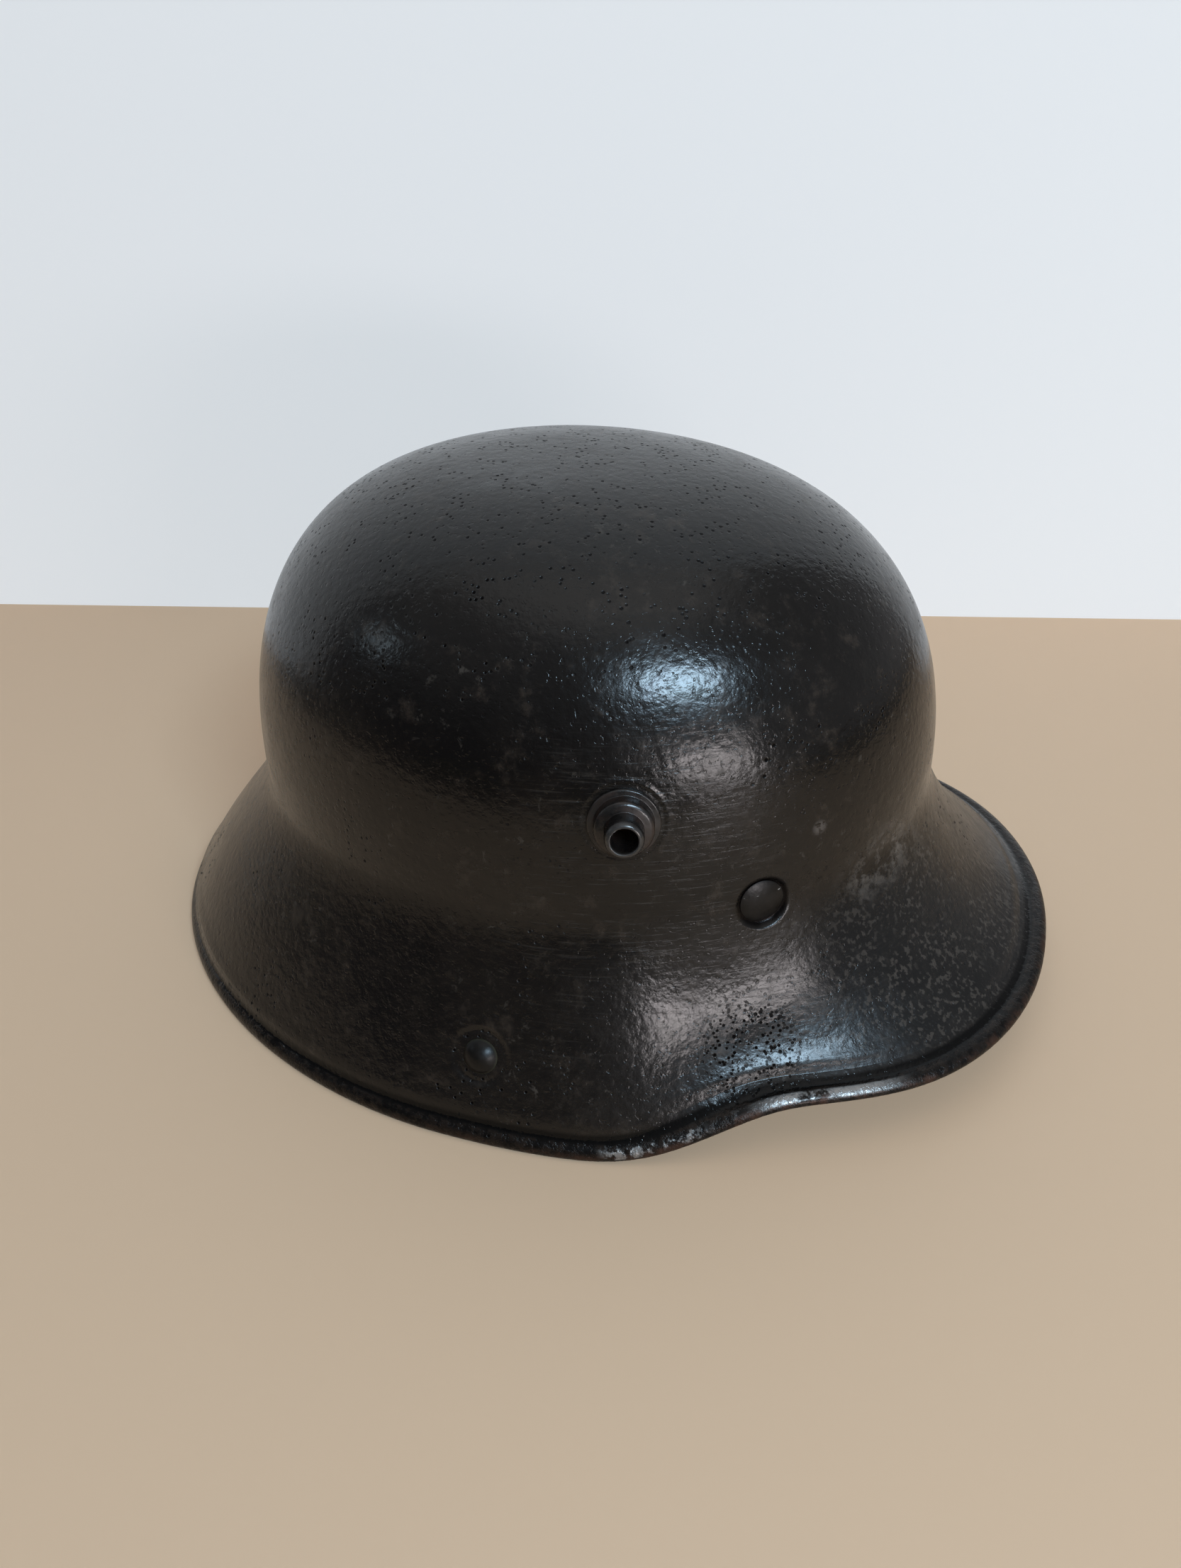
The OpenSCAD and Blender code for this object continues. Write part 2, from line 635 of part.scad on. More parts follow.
// Pad rivets: a head on the pad and a smaller one behind the band
function pad_rivet_turns(mid, half) = [for (k = [-0.7, 0, 0.7]) mid + k * half];
function rivet_places() = concat(
    pad_rivet_turns(0, front_pad_half), pad_rivet_turns(-rear_pad_at, rear_pad_half),
    pad_rivet_turns(rear_pad_at, rear_pad_half)
);
module pad_rivets() {
    color(bright_steel)
    for (t = rivet_places())
        at_band(t) {
            translate([0, 0, -pad_t]) rotate([180, 0, 0]) domed_head(pad_rivet_head, 1.1);
            translate([0, 0, -pad_t]) cylinder(r = pad_rivet_r, h = band_t + pad_t);
            translate([0, 0, band_t]) domed_head(2.4, 0.9);
        }
}

// Lace: a closed cord round the six finger tips
LACE_STEPS = 60;
LACE_SIDES = 8;
function lace_section(t) =
    let(n = waist_out(t), c = lace_point(t))
    [for (k = [0 : LACE_SIDES - 1]) let(a = k * 360 / LACE_SIDES)
        [c[0] + n[0] * lace_r * cos(a), c[1] + n[1] * lace_r * cos(a), c[2] + lace_r * sin(a)]];
module pad_lace() {
    color(lace_color) hoop([for (i = [0 : LACE_STEPS - 1]) lace_section(i * 360 / LACE_STEPS)]);
}

// Chin strap, drawn flat on its edge behind the lugs, then tilted down to the table
strap_clear = 0.5;
lap = 0.1;
strap_reach = rim_length / 2 + hinge_x - strap_room;
strap_tilt = asin((hinge_z - strap_w / 2 - strap_clear) / strap_reach);
hook_hole_r = lug_neck_r + 0.06;
hook_ring_r = lug_neck_r + 3.8;
hook_bar_w = 3;
hook_bar_at = 17;
slot_l = 3.6;
hook_margin = 2.6;
loop_in = hook_t / 2 + soft_gap;
loop_at = hook_bar_at + 0.5;
join_from = hook_bar_at + hook_bar_w + 1;
join_to = join_from + 5;
strap_rivet_at = join_to + 3;
strap_rivet_head = 2.4;
strap_rivet_r = 1.5;
buckle_half = 5.2;
buckle_bar_r = 0.8;
buckle_plate = 1.4;
buckle_gap = 0.3;
buckle_at = strap_rivet_at + strap_rivet_head + buckle_half + 0.6;
doubled_to = buckle_at + buckle_travel + buckle_half;
bend_from = doubled_to;
bend_r = strap_reach - bend_from;
bend_half = hook_y + strap_t;
BEND_STEPS = 32;

module strap_frame() {
    translate([hinge_x, 0, hinge_z]) rotate([0, -strap_tilt, 0]) mirror([1, 0, 0]) children();
}

// A quarter of an ellipse, at a depth inside the bend
function bend_curve(depth) =
    [for (i = [0 : BEND_STEPS]) let(a = i * 90 / BEND_STEPS)
        [(bend_r - depth) * sin(a), (bend_half - depth) * cos(a)]];
function reverse(list) = [for (i = [len(list) - 1 : -1 : 0]) list[i]];

// The left half: distance behind the hinge, then y
module strap_half() {
    // outer and inner layers at the hook
    for (face = [-1, 1])
        linear_extrude(strap_w) polygon([
            [loop_at, hook_y + face * loop_in],
            [join_from, hook_y + face * loop_in],
            [join_to, hook_y - face * lap],
            [doubled_to, hook_y - face * lap],
            [doubled_to, hook_y + face * strap_t],
            [join_to, hook_y + face * strap_t],
            [join_from, hook_y + face * (loop_in + strap_t)],
            [loop_at, hook_y + face * (loop_in + strap_t)]
        ]);
    // loop round the hook's bar
    linear_extrude(strap_w) intersection() {
        translate([loop_at, hook_y])
            difference() {
                circle(loop_in + strap_t);
                circle(loop_in);
            }
        translate([0, hook_y - seat_reach]) square([loop_at + lap, 2 * seat_reach]);
    }
    // bend, and the middle where both halves meet
    linear_extrude(strap_w) translate([bend_from, 0]) polygon(concat(
        [[-lap, bend_half]], bend_curve(0), reverse(bend_curve(strap_t)), [[-lap, bend_half - strap_t]]
    ));
    translate([strap_reach - strap_t, -lap, 0]) cube([strap_t, 2 * lap, strap_w]);
}

module chin_strap() {
    color(leather_color)
    strap_frame()
    difference() {
        translate([0, 0, -strap_w / 2]) {
            strap_half();
            mirror([0, 1, 0]) strap_half();
        }
        for (side = [-1, 1])
            translate([strap_rivet_at, side * hook_y, 0])
                rotate([90, 0, 0]) cylinder(r = strap_rivet_r + play, h = 4 * strap_t, center = true);
    }
}

// Strap hooks: a ring on the lug's neck and a slotted loop for the leather
module strap_hook(side) {
    frame_h = strap_w + 2 * hook_margin + 1;
    frame_low = hook_bar_at - slot_l - 2.4;
    color(bright_steel)
    strap_frame()
    translate([0, side * hook_y, 0])
    rotate([90, 0, 0])
    translate([0, 0, -hook_t / 2])
    linear_extrude(hook_t)
        difference() {
            union() {
                circle(hook_ring_r);
                translate([0, -hook_ring_r * 0.7]) square([frame_low + 1, hook_ring_r * 1.4]);
                translate([frame_low, -frame_h / 2]) square([hook_bar_at + hook_bar_w - frame_low, frame_h]);
            }
            circle(hook_hole_r, $fn = 96);
            translate([hook_bar_at - slot_l, -strap_w / 2 - 0.5]) square([slot_l, strap_w + 1]);
        }
}
module strap_hook_right() { strap_hook(-1); }
module strap_hook_left() { strap_hook(1); }

// Small rivets through the strap's two layers
module strap_rivets() {
    color(bright_steel)
    strap_frame()
    for (side = [-1, 1])
        translate([strap_rivet_at, side * hook_y, 0]) {
            rotate([90, 0, 0]) cylinder(r = strap_rivet_r, h = 2 * strap_t, center = true);
            translate([0, -strap_t, 0]) rotate([90, 0, 0]) domed_head(strap_rivet_head, 0.9);
            translate([0, strap_t, 0]) rotate([-90, 0, 0]) domed_head(strap_rivet_head, 0.9);
        }
}

// Slide buckles: two side plates, two bars outside the leather and one inside
module buckle(side) {
    bar_y = strap_t + buckle_gap + buckle_bar_r;
    rail = strap_w / 2 + buckle_gap;
    color(bright_steel)
    strap_frame()
    translate([buckle_at, side * hook_y, 0]) {
        for (end = [-1, 1]) {
            translate([-buckle_half, -bar_y - buckle_bar_r, end > 0 ? rail : -rail - buckle_plate])
                cube([2 * buckle_half, 2 * (bar_y + buckle_bar_r), buckle_plate]);
            translate([end * (buckle_half - buckle_bar_r), side * bar_y, 0])
                cylinder(r = buckle_bar_r, h = 2 * rail + 0.4, center = true);
        }
        translate([0, -side * bar_y, 0]) cylinder(r = buckle_bar_r, h = 2 * rail + 0.4, center = true);
    }
}
module buckle_right() { buckle(-1); }
module buckle_left() { buckle(1); }

shell();
vent_lug_right();
vent_lug_left();
chin_rivet_right();
chin_rivet_left();
chin_lug_right();
chin_lug_left();
liner_pin_front_right();
liner_pin_front_left();
liner_pin_rear();
pin_spacers();
pin_washers();
liner_band();
pad_front();
pad_rear_right();
pad_rear_left();
cushion_front();
cushion_rear_right();
cushion_rear_left();
pad_rivets();
pad_lace();
chin_strap();
strap_hook_right();
strap_hook_left();
strap_rivets();
buckle_right();
buckle_left();
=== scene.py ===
# %% [markdown]
# Pressed-steel combat helmet with a leather liner and a hooked chin strap.
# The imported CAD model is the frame: metres, +X to the visor, +Y to the wearer's left, +Z up.
# Each step explains a piece or a finish before the code cell that makes it.

# %% The frame
import bpy
import json
import math
import numpy as np
from mathutils import Matrix, Vector

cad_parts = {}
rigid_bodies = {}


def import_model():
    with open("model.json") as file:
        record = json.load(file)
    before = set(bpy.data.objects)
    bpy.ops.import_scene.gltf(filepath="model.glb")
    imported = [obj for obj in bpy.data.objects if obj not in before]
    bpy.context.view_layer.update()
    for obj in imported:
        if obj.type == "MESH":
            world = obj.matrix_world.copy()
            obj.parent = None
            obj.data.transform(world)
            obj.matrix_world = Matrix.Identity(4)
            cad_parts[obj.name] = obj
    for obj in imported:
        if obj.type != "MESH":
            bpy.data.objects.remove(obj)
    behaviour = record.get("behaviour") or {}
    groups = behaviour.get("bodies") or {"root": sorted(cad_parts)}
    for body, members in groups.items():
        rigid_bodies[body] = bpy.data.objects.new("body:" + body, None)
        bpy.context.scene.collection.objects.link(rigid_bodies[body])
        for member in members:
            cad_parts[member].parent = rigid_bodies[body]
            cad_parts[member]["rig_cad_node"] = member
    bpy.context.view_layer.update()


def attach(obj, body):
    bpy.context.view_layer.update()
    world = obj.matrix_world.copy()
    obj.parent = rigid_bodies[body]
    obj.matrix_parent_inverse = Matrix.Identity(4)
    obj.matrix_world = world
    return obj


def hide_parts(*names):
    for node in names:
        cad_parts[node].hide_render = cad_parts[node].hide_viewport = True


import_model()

MM = 0.001

# %% [markdown]
# The camera comes first, because every later choice is judged through it.
# It looks down at the helmet from the visor's right side, at 33 degrees, from 43 cm away.
# Such a pose could be aimed by hand with a target. Here its three axes are written out, because
# the photograph was solved to an angle, a roll and a distance.

# %% Camera
def direction(azimuth, elevation):
    """Points away from the helmet, so many degrees round from its right side and up."""
    a, e = math.radians(azimuth), math.radians(elevation)
    return Vector((math.sin(a) * math.cos(e), -math.cos(a) * math.cos(e), math.sin(e)))


def added(name, data):
    ob = bpy.data.objects.new(name, data)
    bpy.context.scene.collection.objects.link(ob)
    return ob


AZIMUTH, ELEVATION, DISTANCE = 19.882, 33.13, 0.430083
TARGET = Vector((-0.004049, 0.006967, 0.041744))
ROLL = math.radians(-1.494)
LENS, SENSOR = 27.667, 36
back = direction(AZIMUTH, ELEVATION)
side = Vector((0, 0, 1)).cross(back).normalized()
up = back.cross(side)
right = math.cos(ROLL) * side + math.sin(ROLL) * up
top = -math.sin(ROLL) * side + math.cos(ROLL) * up
camera = added("camera", bpy.data.cameras.new("camera"))
camera.data.lens = LENS
camera.data.sensor_width = SENSOR
camera.data.clip_start = 0.01
turn = Matrix((right, top, back)).transposed().to_4x4()
camera.matrix_world = Matrix.Translation(TARGET + back * DISTANCE) @ turn
bpy.context.scene.camera = camera
bpy.context.scene.view_settings.view_transform = "Standard"
print("camera at", [round(v, 3) for v in camera.matrix_world.translation])

# %% [markdown]
# The shell's shape follows the same named sizes and curves as the CAD source, so that the
# detailed skin lies on the plain one. Angles t go round from the visor; v runs from 0 at the
# crown through 1 at the waist, where the wall stands upright, to 2 at the rim.

# %% Shell curves
# Sizes in millimetres: half the rim's length and width, and how far back its middle lies
HALF_LENGTH, HALF_WIDTH, RIM_BACK = 155, 123, -6.5
WAIST_X, WAIST_Y, WAIST_BACK = 112, 96, -1
CROWN, DOME_BACK = 163, -10
# Degrees: where the visor ends, over what turn it blends, and how steep skirt and visor are
VISOR_END, VISOR_BLEND = 64, 29
SKIRT_SLOPE, VISOR_SLOPE = 64, 18
# Height of the waist, how much more it is in front and less behind, and the visor's rise
WAIST_Z, WAIST_FRONT, WAIST_REAR, VISOR_RISE = 66.5, 3, 5.5, 15.5
# Roundness of the rim in front and behind, and of the dome in plan and in height
RIM_FRONT, RIM_REAR, DOME_OUT, DOME_UP = 2.2, 1.94, 2.8, 2.5
# The rim draws in beside the visor: by what share, at what turn and how widely
NIP, NIP_TURN, NIP_WIDE = 0.043, 54, 14
# How far the flare's curve is pulled out towards its ends, as a share of its chord
PULL = 0.42
# The sheet, the rolled edge's depth and thickness, and the groove above it
STEEL, HEM, LIP_T, GROOVE = 1.2, 6.5, 3.1, 0.7
RIM_POINTS = np.array([
    [HEM + 3.5, 0], [HEM + 1.5, -0.35], [HEM, -GROOVE], [HEM - 1.4, -0.4], [HEM - 2.8, 0.25],
    [1.8, 0.2], [0.5, -0.45], [0, -LIP_T / 2], [0.4, -LIP_T * 0.75], [1.5, -LIP_T * 0.97],
    [3.2, -LIP_T], [HEM - 1.4, -LIP_T], [HEM - 0.5, -LIP_T * 0.8], [HEM + 0.2, -STEEL - GROOVE],
    [HEM + 1.5, -STEEL - 0.45], [HEM + 3.5, -STEEL],
])


def sin(a):
    return np.sin(np.radians(a))


def cos(a):
    return np.cos(np.radians(a))


def stack(*columns):
    return np.stack(columns, -1)


def raised(plan, z):
    """Points of a plan with their heights."""
    return np.concatenate([plan, np.broadcast_to(z, plan.shape[:-1])[..., None]], -1)


def unit(v):
    return v / np.maximum(np.linalg.norm(v, axis=-1, keepdims=True), 1e-12)


def aside(way):
    """Square to a plane path's direction, on its right."""
    return unit(stack(way[..., 1], -way[..., 0]))


def ease(v):
    k = np.clip(v, 0, 1)
    return k * k * k * (k * (6 * k - 15) + 10)


def mix(a, b, k):
    return a + (b - a) * k


def turn_from_front(t):
    return np.abs((t + 540) % 360 - 180)


def visor_share(t):
    return ease((VISOR_END + VISOR_BLEND / 2 - turn_from_front(t)) / VISOR_BLEND)


def waist_height(t):
    rear = ease((turn_from_front(t) - 90) / 90)
    return WAIST_Z + WAIST_FRONT * np.maximum(cos(t), 0) ** 2 - WAIST_REAR * rear


def waist(t):
    return stack(WAIST_BACK + WAIST_X * cos(t), WAIST_Y * sin(t))


def rim_outline(t):
    front = cos(t) > 0
    n = np.where(front, RIM_FRONT, RIM_REAR)
    half = HALF_LENGTH - np.where(front, RIM_BACK, -RIM_BACK)
    nip = 1 - NIP * np.exp(-((turn_from_front(t) - NIP_TURN) / NIP_WIDE) ** 2)
    c, s = cos(t), sin(t)
    x = RIM_BACK + half * np.sign(c) * np.abs(c) ** (2 / n) * nip
    y = HALF_WIDTH * np.sign(s) * np.abs(s) ** (2 / n) * nip
    return stack(x, y)


def flare_frame(t):
    """The flare's way outward in plan, its run, the rim skin's height and its slope."""
    slope = np.radians(mix(SKIRT_SLOPE, VISOR_SLOPE, visor_share(t)))
    c, s = np.cos(slope)[..., None], np.sin(slope)[..., None]
    reach = (-RIM_POINTS[:, 0] * c + RIM_POINTS[:, 1] * s).max(-1)
    drop = -(RIM_POINTS[:, 0] * s + RIM_POINTS[:, 1] * c).min(-1)
    out = rim_outline(t) - waist(t)
    length = np.linalg.norm(out, axis=-1)
    return out / length[..., None], length - reach, VISOR_RISE * visor_share(t) + drop, slope


def bezier(a, b, c, d, q):
    return (1 - q) ** 3 * a + 3 * (1 - q) ** 2 * q * b + 3 * (1 - q) * q * q * c + q ** 3 * d


def flare(t, q):
    way, run, low, slope = flare_frame(t)
    top = waist_height(t)
    pull = PULL * np.hypot(run, top - low)
    r = bezier(0 * run, 0 * run, run - pull * np.cos(slope), run, q)
    z = bezier(top, mix(top, low, 0.15), low + pull * np.sin(slope), low, q)
    return raised(waist(t) + way * r[..., None], z)


def dome(t, k):
    k = np.clip(k, 0, 1)
    f = sin(90 * k) ** (2 / DOME_OUT)
    g = np.maximum(cos(90 * k), 0) ** (2 / DOME_UP)
    w = waist(t)
    x, y = mix(DOME_BACK, w[..., 0], f), w[..., 1] * f
    return stack(x, y, mix(waist_height(t), CROWN, g))


def skin(t, v):
    t, v = np.broadcast_arrays(np.asarray(t, float), np.asarray(v, float))
    return np.where((v < 1)[..., None], dome(t, v), flare(t, v - 1))


def skin_normal(t, v):
    t, v = np.broadcast_arrays(np.asarray(t, float), np.asarray(v, float))
    low = np.minimum(v, 1.99)
    up = skin(t, np.maximum(low - 0.01, 0)) - skin(t, low + 0.01)
    n = unit(np.cross(skin(t + 1, v) - skin(t - 1, v), up))
    return np.where((v < 0.01)[..., None], np.array([0, 0, 1.0]), n)


def skin_level(t, z):
    low, high = 0.0, 2.0
    for _ in range(24):
        v = (low + high) / 2
        low, high = (v, high) if skin(t, v)[2] > z else (low, v)
    return (low + high) / 2


def spot(t, z):
    v = skin_level(t, z)
    return skin(t, v), skin_normal(t, v)


print("vent lug stands at", np.round(spot(68.5, 97)[0], 2), "mm")

# %% [markdown]
# The shell is one sheet of steel pressed over a die, with its edge rolled back on itself.
# It could be lathed and pulled, or sculpted. A flat grid is added instead, made finer round the
# seven seats, and then bent: one side runs round the head, the other from the crown over the
# outer skin, round the rolled rim and back up inside. That keeps wall and rim in one closed skin.

# %% Seats pressed into the steel
# Each seat: turn from the front, height, depth, radius of the flat, radius of the hole
SEATS = [
    # Vent lugs, liner pins, chin rivets
    (-68.5, 97, 0.35, 11.2, 5.6), (68.5, 97, 0.35, 11.2, 5.6),
    (-48, 66.7, 0.8, 7.0, 1.7), (48, 66.7, 0.8, 7.0, 1.7), (180, 66.7, 0.8, 7.0, 1.7),
    (-87.5, 24.5, 0.3, 8.0, 2.1), (87.5, 24.5, 0.3, 8.0, 2.1),
]
SEAT_SPOTS = [spot(t, z) for t, z, _, _, _ in SEATS]
PIN_SEATS = SEAT_SPOTS[2:5]
print(len(SEATS), "seats")

# %% Small helpers for meshes
def read(items, key, size=3):
    """Reads a vector of each point, face or corner into rows."""
    flat = np.empty(len(items) * size)
    items.foreach_get(key, flat)
    return flat.reshape(-1, size)


def coordinates(ob):
    return read(ob.data.vertices, "co")


def middles_of(ob):
    return read(ob.data.polygons, "center")


def record(ob, name, values):
    """Keeps a number or a vector for each point, which the materials read."""
    kind, key = ("FLOAT_VECTOR", "vector") if values.ndim > 1 else ("FLOAT", "value")
    layer = ob.data.attributes.new(name, kind, "POINT")
    layer.data.foreach_set(key, values.astype(np.float32).ravel())


def mode(name):
    bpy.ops.object.mode_set(mode=name)


def use(*pieces):
    """Leaves only these pieces selected, the first one active."""
    if bpy.context.object and bpy.context.object.mode == "EDIT":
        mode("OBJECT")
    bpy.ops.object.select_all(action="DESELECT")
    for ob in pieces:
        ob.select_set(True)
    if pieces:
        bpy.context.view_layer.objects.active = pieces[0]


def pick(ob, kind, chosen):
    """Selects just the chosen faces or edges and enters edit mode."""
    if ob.mode == "EDIT":
        mode("OBJECT")
    mesh = ob.data
    for part in (mesh.vertices, mesh.edges, mesh.polygons):
        part.foreach_set("select", np.zeros(len(part), bool))
    (mesh.polygons if kind == "faces" else mesh.edges).foreach_set("select", chosen)
    bpy.context.tool_settings.mesh_select_mode = (False, kind == "edges", kind == "faces")
    mode("EDIT")


def delete_faces(ob, chosen):
    pick(ob, "faces", chosen)
    bpy.ops.mesh.delete(type="FACE")
    mode("OBJECT")


def closed_skin(merge=None, flat=None):
    """Merges the active piece's doubled points, clears flat edges, turns faces outward."""
    mode("EDIT")
    bpy.ops.mesh.select_all(action="SELECT")
    if merge:
        bpy.ops.mesh.remove_doubles(threshold=merge)
    if flat:
        bpy.ops.mesh.dissolve_limited(angle_limit=math.radians(flat))
    bpy.ops.mesh.normals_make_consistent(inside=False)
    mode("OBJECT")


def applied(ob, kind, **settings):
    """Adds a modifier with its settings to the active piece and applies it."""
    step = ob.modifiers.new(kind.lower(), kind)
    for key, value in settings.items():
        setattr(step, key, value)
    bpy.ops.object.modifier_apply(modifier=step.name)


def bake_place():
    bpy.ops.object.transform_apply(location=True, rotation=True, scale=True)


def place(ob, body, node):
    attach(ob, body)
    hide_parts(node)


print("helpers ready")

# %% Bending the flat grid
COLUMNS = 216
# Rows in each stretch: outer dome, outer flare, rolled rim, inner flare, inner dome
STRETCHES = [56, 34, 42, 22, 36]
ENDS = np.cumsum([0] + STRETCHES)


def rim_curve(q):
    """The rolled rim's smooth section: distance in from the edge, and height over the skin."""
    last = len(RIM_POINTS) - 1
    p = np.vstack([RIM_POINTS[:1], RIM_POINTS, RIM_POINTS[-1:]])
    x = q * last
    i = np.clip(np.floor(x).astype(int), 0, last - 1)
    s = (x - i)[..., None]
    a, b, c, d = p[i], p[i + 1], p[np.minimum(i + 2, last + 2)], p[np.minimum(i + 3, last + 2)]
    curve = ((1 - s) ** 3 * a + (3 * s ** 3 - 6 * s ** 2 + 4) * b
             + (-3 * s ** 3 + 3 * s ** 2 + 3 * s + 1) * c + s ** 3 * d) / 6
    first = mix(RIM_POINTS[0], curve, np.clip(x, 0, 1)[..., None])
    return mix(first, RIM_POINTS[-1], np.clip(x - last + 1, 0, 1)[..., None])


def shell_points(t, row):
    """Where the flat grid's points go, in millimetres, and whether each is on the inner wall."""
    way, run, low, slope = flare_frame(t)
    edge = 1 - (HEM + 3.5) / (3 * PULL * np.hypot(run, waist_height(t) - low))
    # Down the outer skin from crown to rim, level round the roll, and back up the inner skin
    v = np.interp(row, ENDS, (0, 1, 2, 2, 1, 0))
    v = np.where(v > 1, 1 + edge * (v - 1), v)
    inner = row >= ENDS[3]
    at = skin(t, v) - np.where(inner, STEEL, 0)[..., None] * skin_normal(t, v)
    pole = inner & (v < 1e-6)
    at[pole] = (DOME_BACK, 0, CROWN - STEEL)
    p = rim_curve(np.clip((row - ENDS[2]) / STRETCHES[2], 0, 1))
    r = run - p[..., 0] * np.cos(slope) + p[..., 1] * np.sin(slope)
    z = low + p[..., 0] * np.sin(slope) + p[..., 1] * np.cos(slope)
    rolled = raised(waist(t) + way * r[..., None], z)
    on_rim = (row > ENDS[2]) & (row < ENDS[3])
    return np.where(on_rim[..., None], rolled, at), row > (ENDS[2] + ENDS[3]) / 2


def from_axis(at, centre, n):
    """Distance of points from a seat's axis, and their height over the seat."""
    h = (at - centre) @ n
    return np.linalg.norm(at - centre - h[:, None] * n, axis=1), h


def press_seats(at, inner):
    for (_, _, sink, flat, _), (centre, n) in zip(SEATS, SEAT_SPOTS):
        r, h = from_axis(at, centre, n)
        k = 1 - ease((r - flat + 0.2) / 1.7)
        k = np.where((np.abs(h) < 7) & (r < flat + 3), k, 0)
        ring = 0.22 * np.exp(-((r - flat + 0.45) / 0.5) ** 2) * np.where(inner, 0, 1)
        at = at + ((np.where(inner, -sink - STEEL, -sink) - ring - h) * k)[:, None] * n
    return at


def flat_to_shell(flat):
    return shell_points((flat[:, 0] + 0.5) * 360, (flat[:, 1] + 0.5) * ENDS[5])


use()
bpy.ops.mesh.primitive_grid_add(x_subdivisions=COLUMNS, y_subdivisions=int(ENDS[5]), size=1)
shell = bpy.context.object
shell.name = "shell_pressed"
for cuts, outside in ((4, True), (2, False)):
    where, inner = flat_to_shell(middles_of(shell))
    near = np.zeros(len(where), bool)
    for (_, _, _, flat, _), (centre, _) in zip(SEATS, SEAT_SPOTS):
        near |= np.linalg.norm(where - centre, axis=1) < flat + 4.5
    pick(shell, "faces", near & (inner != outside))
    bpy.ops.mesh.subdivide(number_cuts=cuts)
    mode("OBJECT")
print("flat grid", len(shell.data.vertices), "points")

# %% The bend, and the holes through the seats
flat_points = coordinates(shell)
bent, inner = flat_to_shell(flat_points)
shell.data.vertices.foreach_set("co", (press_seats(bent, inner) * MM).ravel())
record(shell, "row", (flat_points[:, 1] + 0.5) * ENDS[5])
mode("EDIT")
bpy.ops.mesh.select_all(action="SELECT")
bpy.ops.mesh.remove_doubles(threshold=1e-6)
mode("OBJECT")
where = middles_of(shell) / MM
holes = np.zeros(len(where), bool)
for (_, _, _, _, hole), (centre, n) in zip(SEATS, SEAT_SPOTS):
    r, h = from_axis(where, centre, n)
    holes |= (r < hole) & (np.abs(h) < 6)
delete_faces(shell, holes)
for (_, _, _, _, hole), (centre, _) in zip(SEATS, SEAT_SPOTS):
    mesh = shell.data
    uses = np.empty(len(mesh.loops), np.int64)
    mesh.loops.foreach_get("edge_index", uses)
    pairs = np.empty(len(mesh.edges) * 2, np.int64)
    mesh.edges.foreach_get("vertices", pairs)
    middle = coordinates(shell)[pairs].reshape(-1, 2, 3).mean(1) / MM
    open_edges = np.bincount(uses, minlength=len(mesh.edges)) == 1
    pick(shell, "edges", open_edges & (np.linalg.norm(middle - centre, axis=1) < hole + 5))
    bpy.ops.mesh.bridge_edge_loops()
    mode("OBJECT")
closed_skin()
bpy.ops.object.shade_smooth()
place(shell, "shell", "shell")
print("shell", len(shell.data.polygons), "faces")

# %% [markdown]
# The turned pieces, the vent lugs, rivets and pins, come off a lathe or out of a heading die.
# Each starts as a circle that is extruded ring by ring along its section, which leaves clean
# bands of faces for the bevels that soften every worn edge.

# %% Turned pieces
def turned(name, section, sides=72):
    """Extrudes a circle along a section of [radius, height] in millimetres."""
    use()
    r, z = section[0]
    bpy.ops.mesh.primitive_circle_add(vertices=sides, radius=r * MM, location=(0, 0, z * MM))
    ob = bpy.context.object
    ob.name = name
    bake_place()
    mode("EDIT")
    bpy.ops.mesh.select_all(action="SELECT")
    for (r0, z0), (r1, z1) in zip(section, section[1:]):
        bpy.ops.mesh.extrude_edges_move()
        bpy.ops.transform.resize(value=(r1 / r0, r1 / r0, 1), center_override=(0, 0, 0))
        bpy.ops.transform.translate(value=(0, 0, (z1 - z0) * MM))
    closed_skin(2e-6)
    return ob


def finish_edges(ob, width, segments=3, angle=28):
    use(ob)
    applied(ob, "BEVEL", width=width * MM, segments=segments, limit_method="ANGLE",
            angle_limit=math.radians(angle))
    bpy.ops.object.shade_smooth_by_angle(angle=math.radians(40))


def stand(ob, seat, node):
    """Stands a turned piece in its seat, with its +Z along the skin's outward normal."""
    (_, _, sink, _, _), (point, n) = SEATS[seat], SEAT_SPOTS[seat]
    record(ob, "lathe", coordinates(ob))
    turn = Matrix.Rotation(math.atan2(n[1], n[0]), 4, "Z")
    turn = turn @ Matrix.Rotation(math.acos(n[2]), 4, "Y")
    ob.matrix_world = Matrix.Translation(Vector(point - sink * n) * MM) @ turn
    use(ob)
    bake_place()
    place(ob, "shell", node)
    return ob


VENT_SECTION = [
    [3.55, -2.2], [8.0, -2.2], [8.0, -1.2], [6.0, -1.2], [6.0, 0], [9.8, 0], [9.8, 0.9], [9.5, 1.3],
    [8.05, 1.3], [8.0, 4.3], [7.85, 4.9], [7.4, 5.3], [6.8, 5.5], [5.25, 5.5], [5.2, 9.9],
    [5.1, 10.6], [4.85, 11.25], [4.4, 11.65], [3.9, 11.8], [3.6, 11.6], [3.55, 11.0], [3.55, -2.2],
]
VENTS = []
for seat, name in ((0, "right"), (1, "left")):
    lug = turned("vent_" + name, VENT_SECTION)
    finish_edges(lug, 0.22)
    VENTS.append(stand(lug, seat, "vent_lug_" + name))
print("vent lugs", [len(o.data.polygons) for o in VENTS], "faces")

# %% Domed heads of the chin rivets and the liner pins
def dome_section(r, h, steps=9):
    ball = (r * r + h * h) / (2 * h)
    full = math.asin(r / ball)
    rings = [full * (1 - i / steps) for i in range(steps)]
    return [[ball * math.sin(a), ball * math.cos(a) - ball + h] for a in rings] + [[0.02, h]]


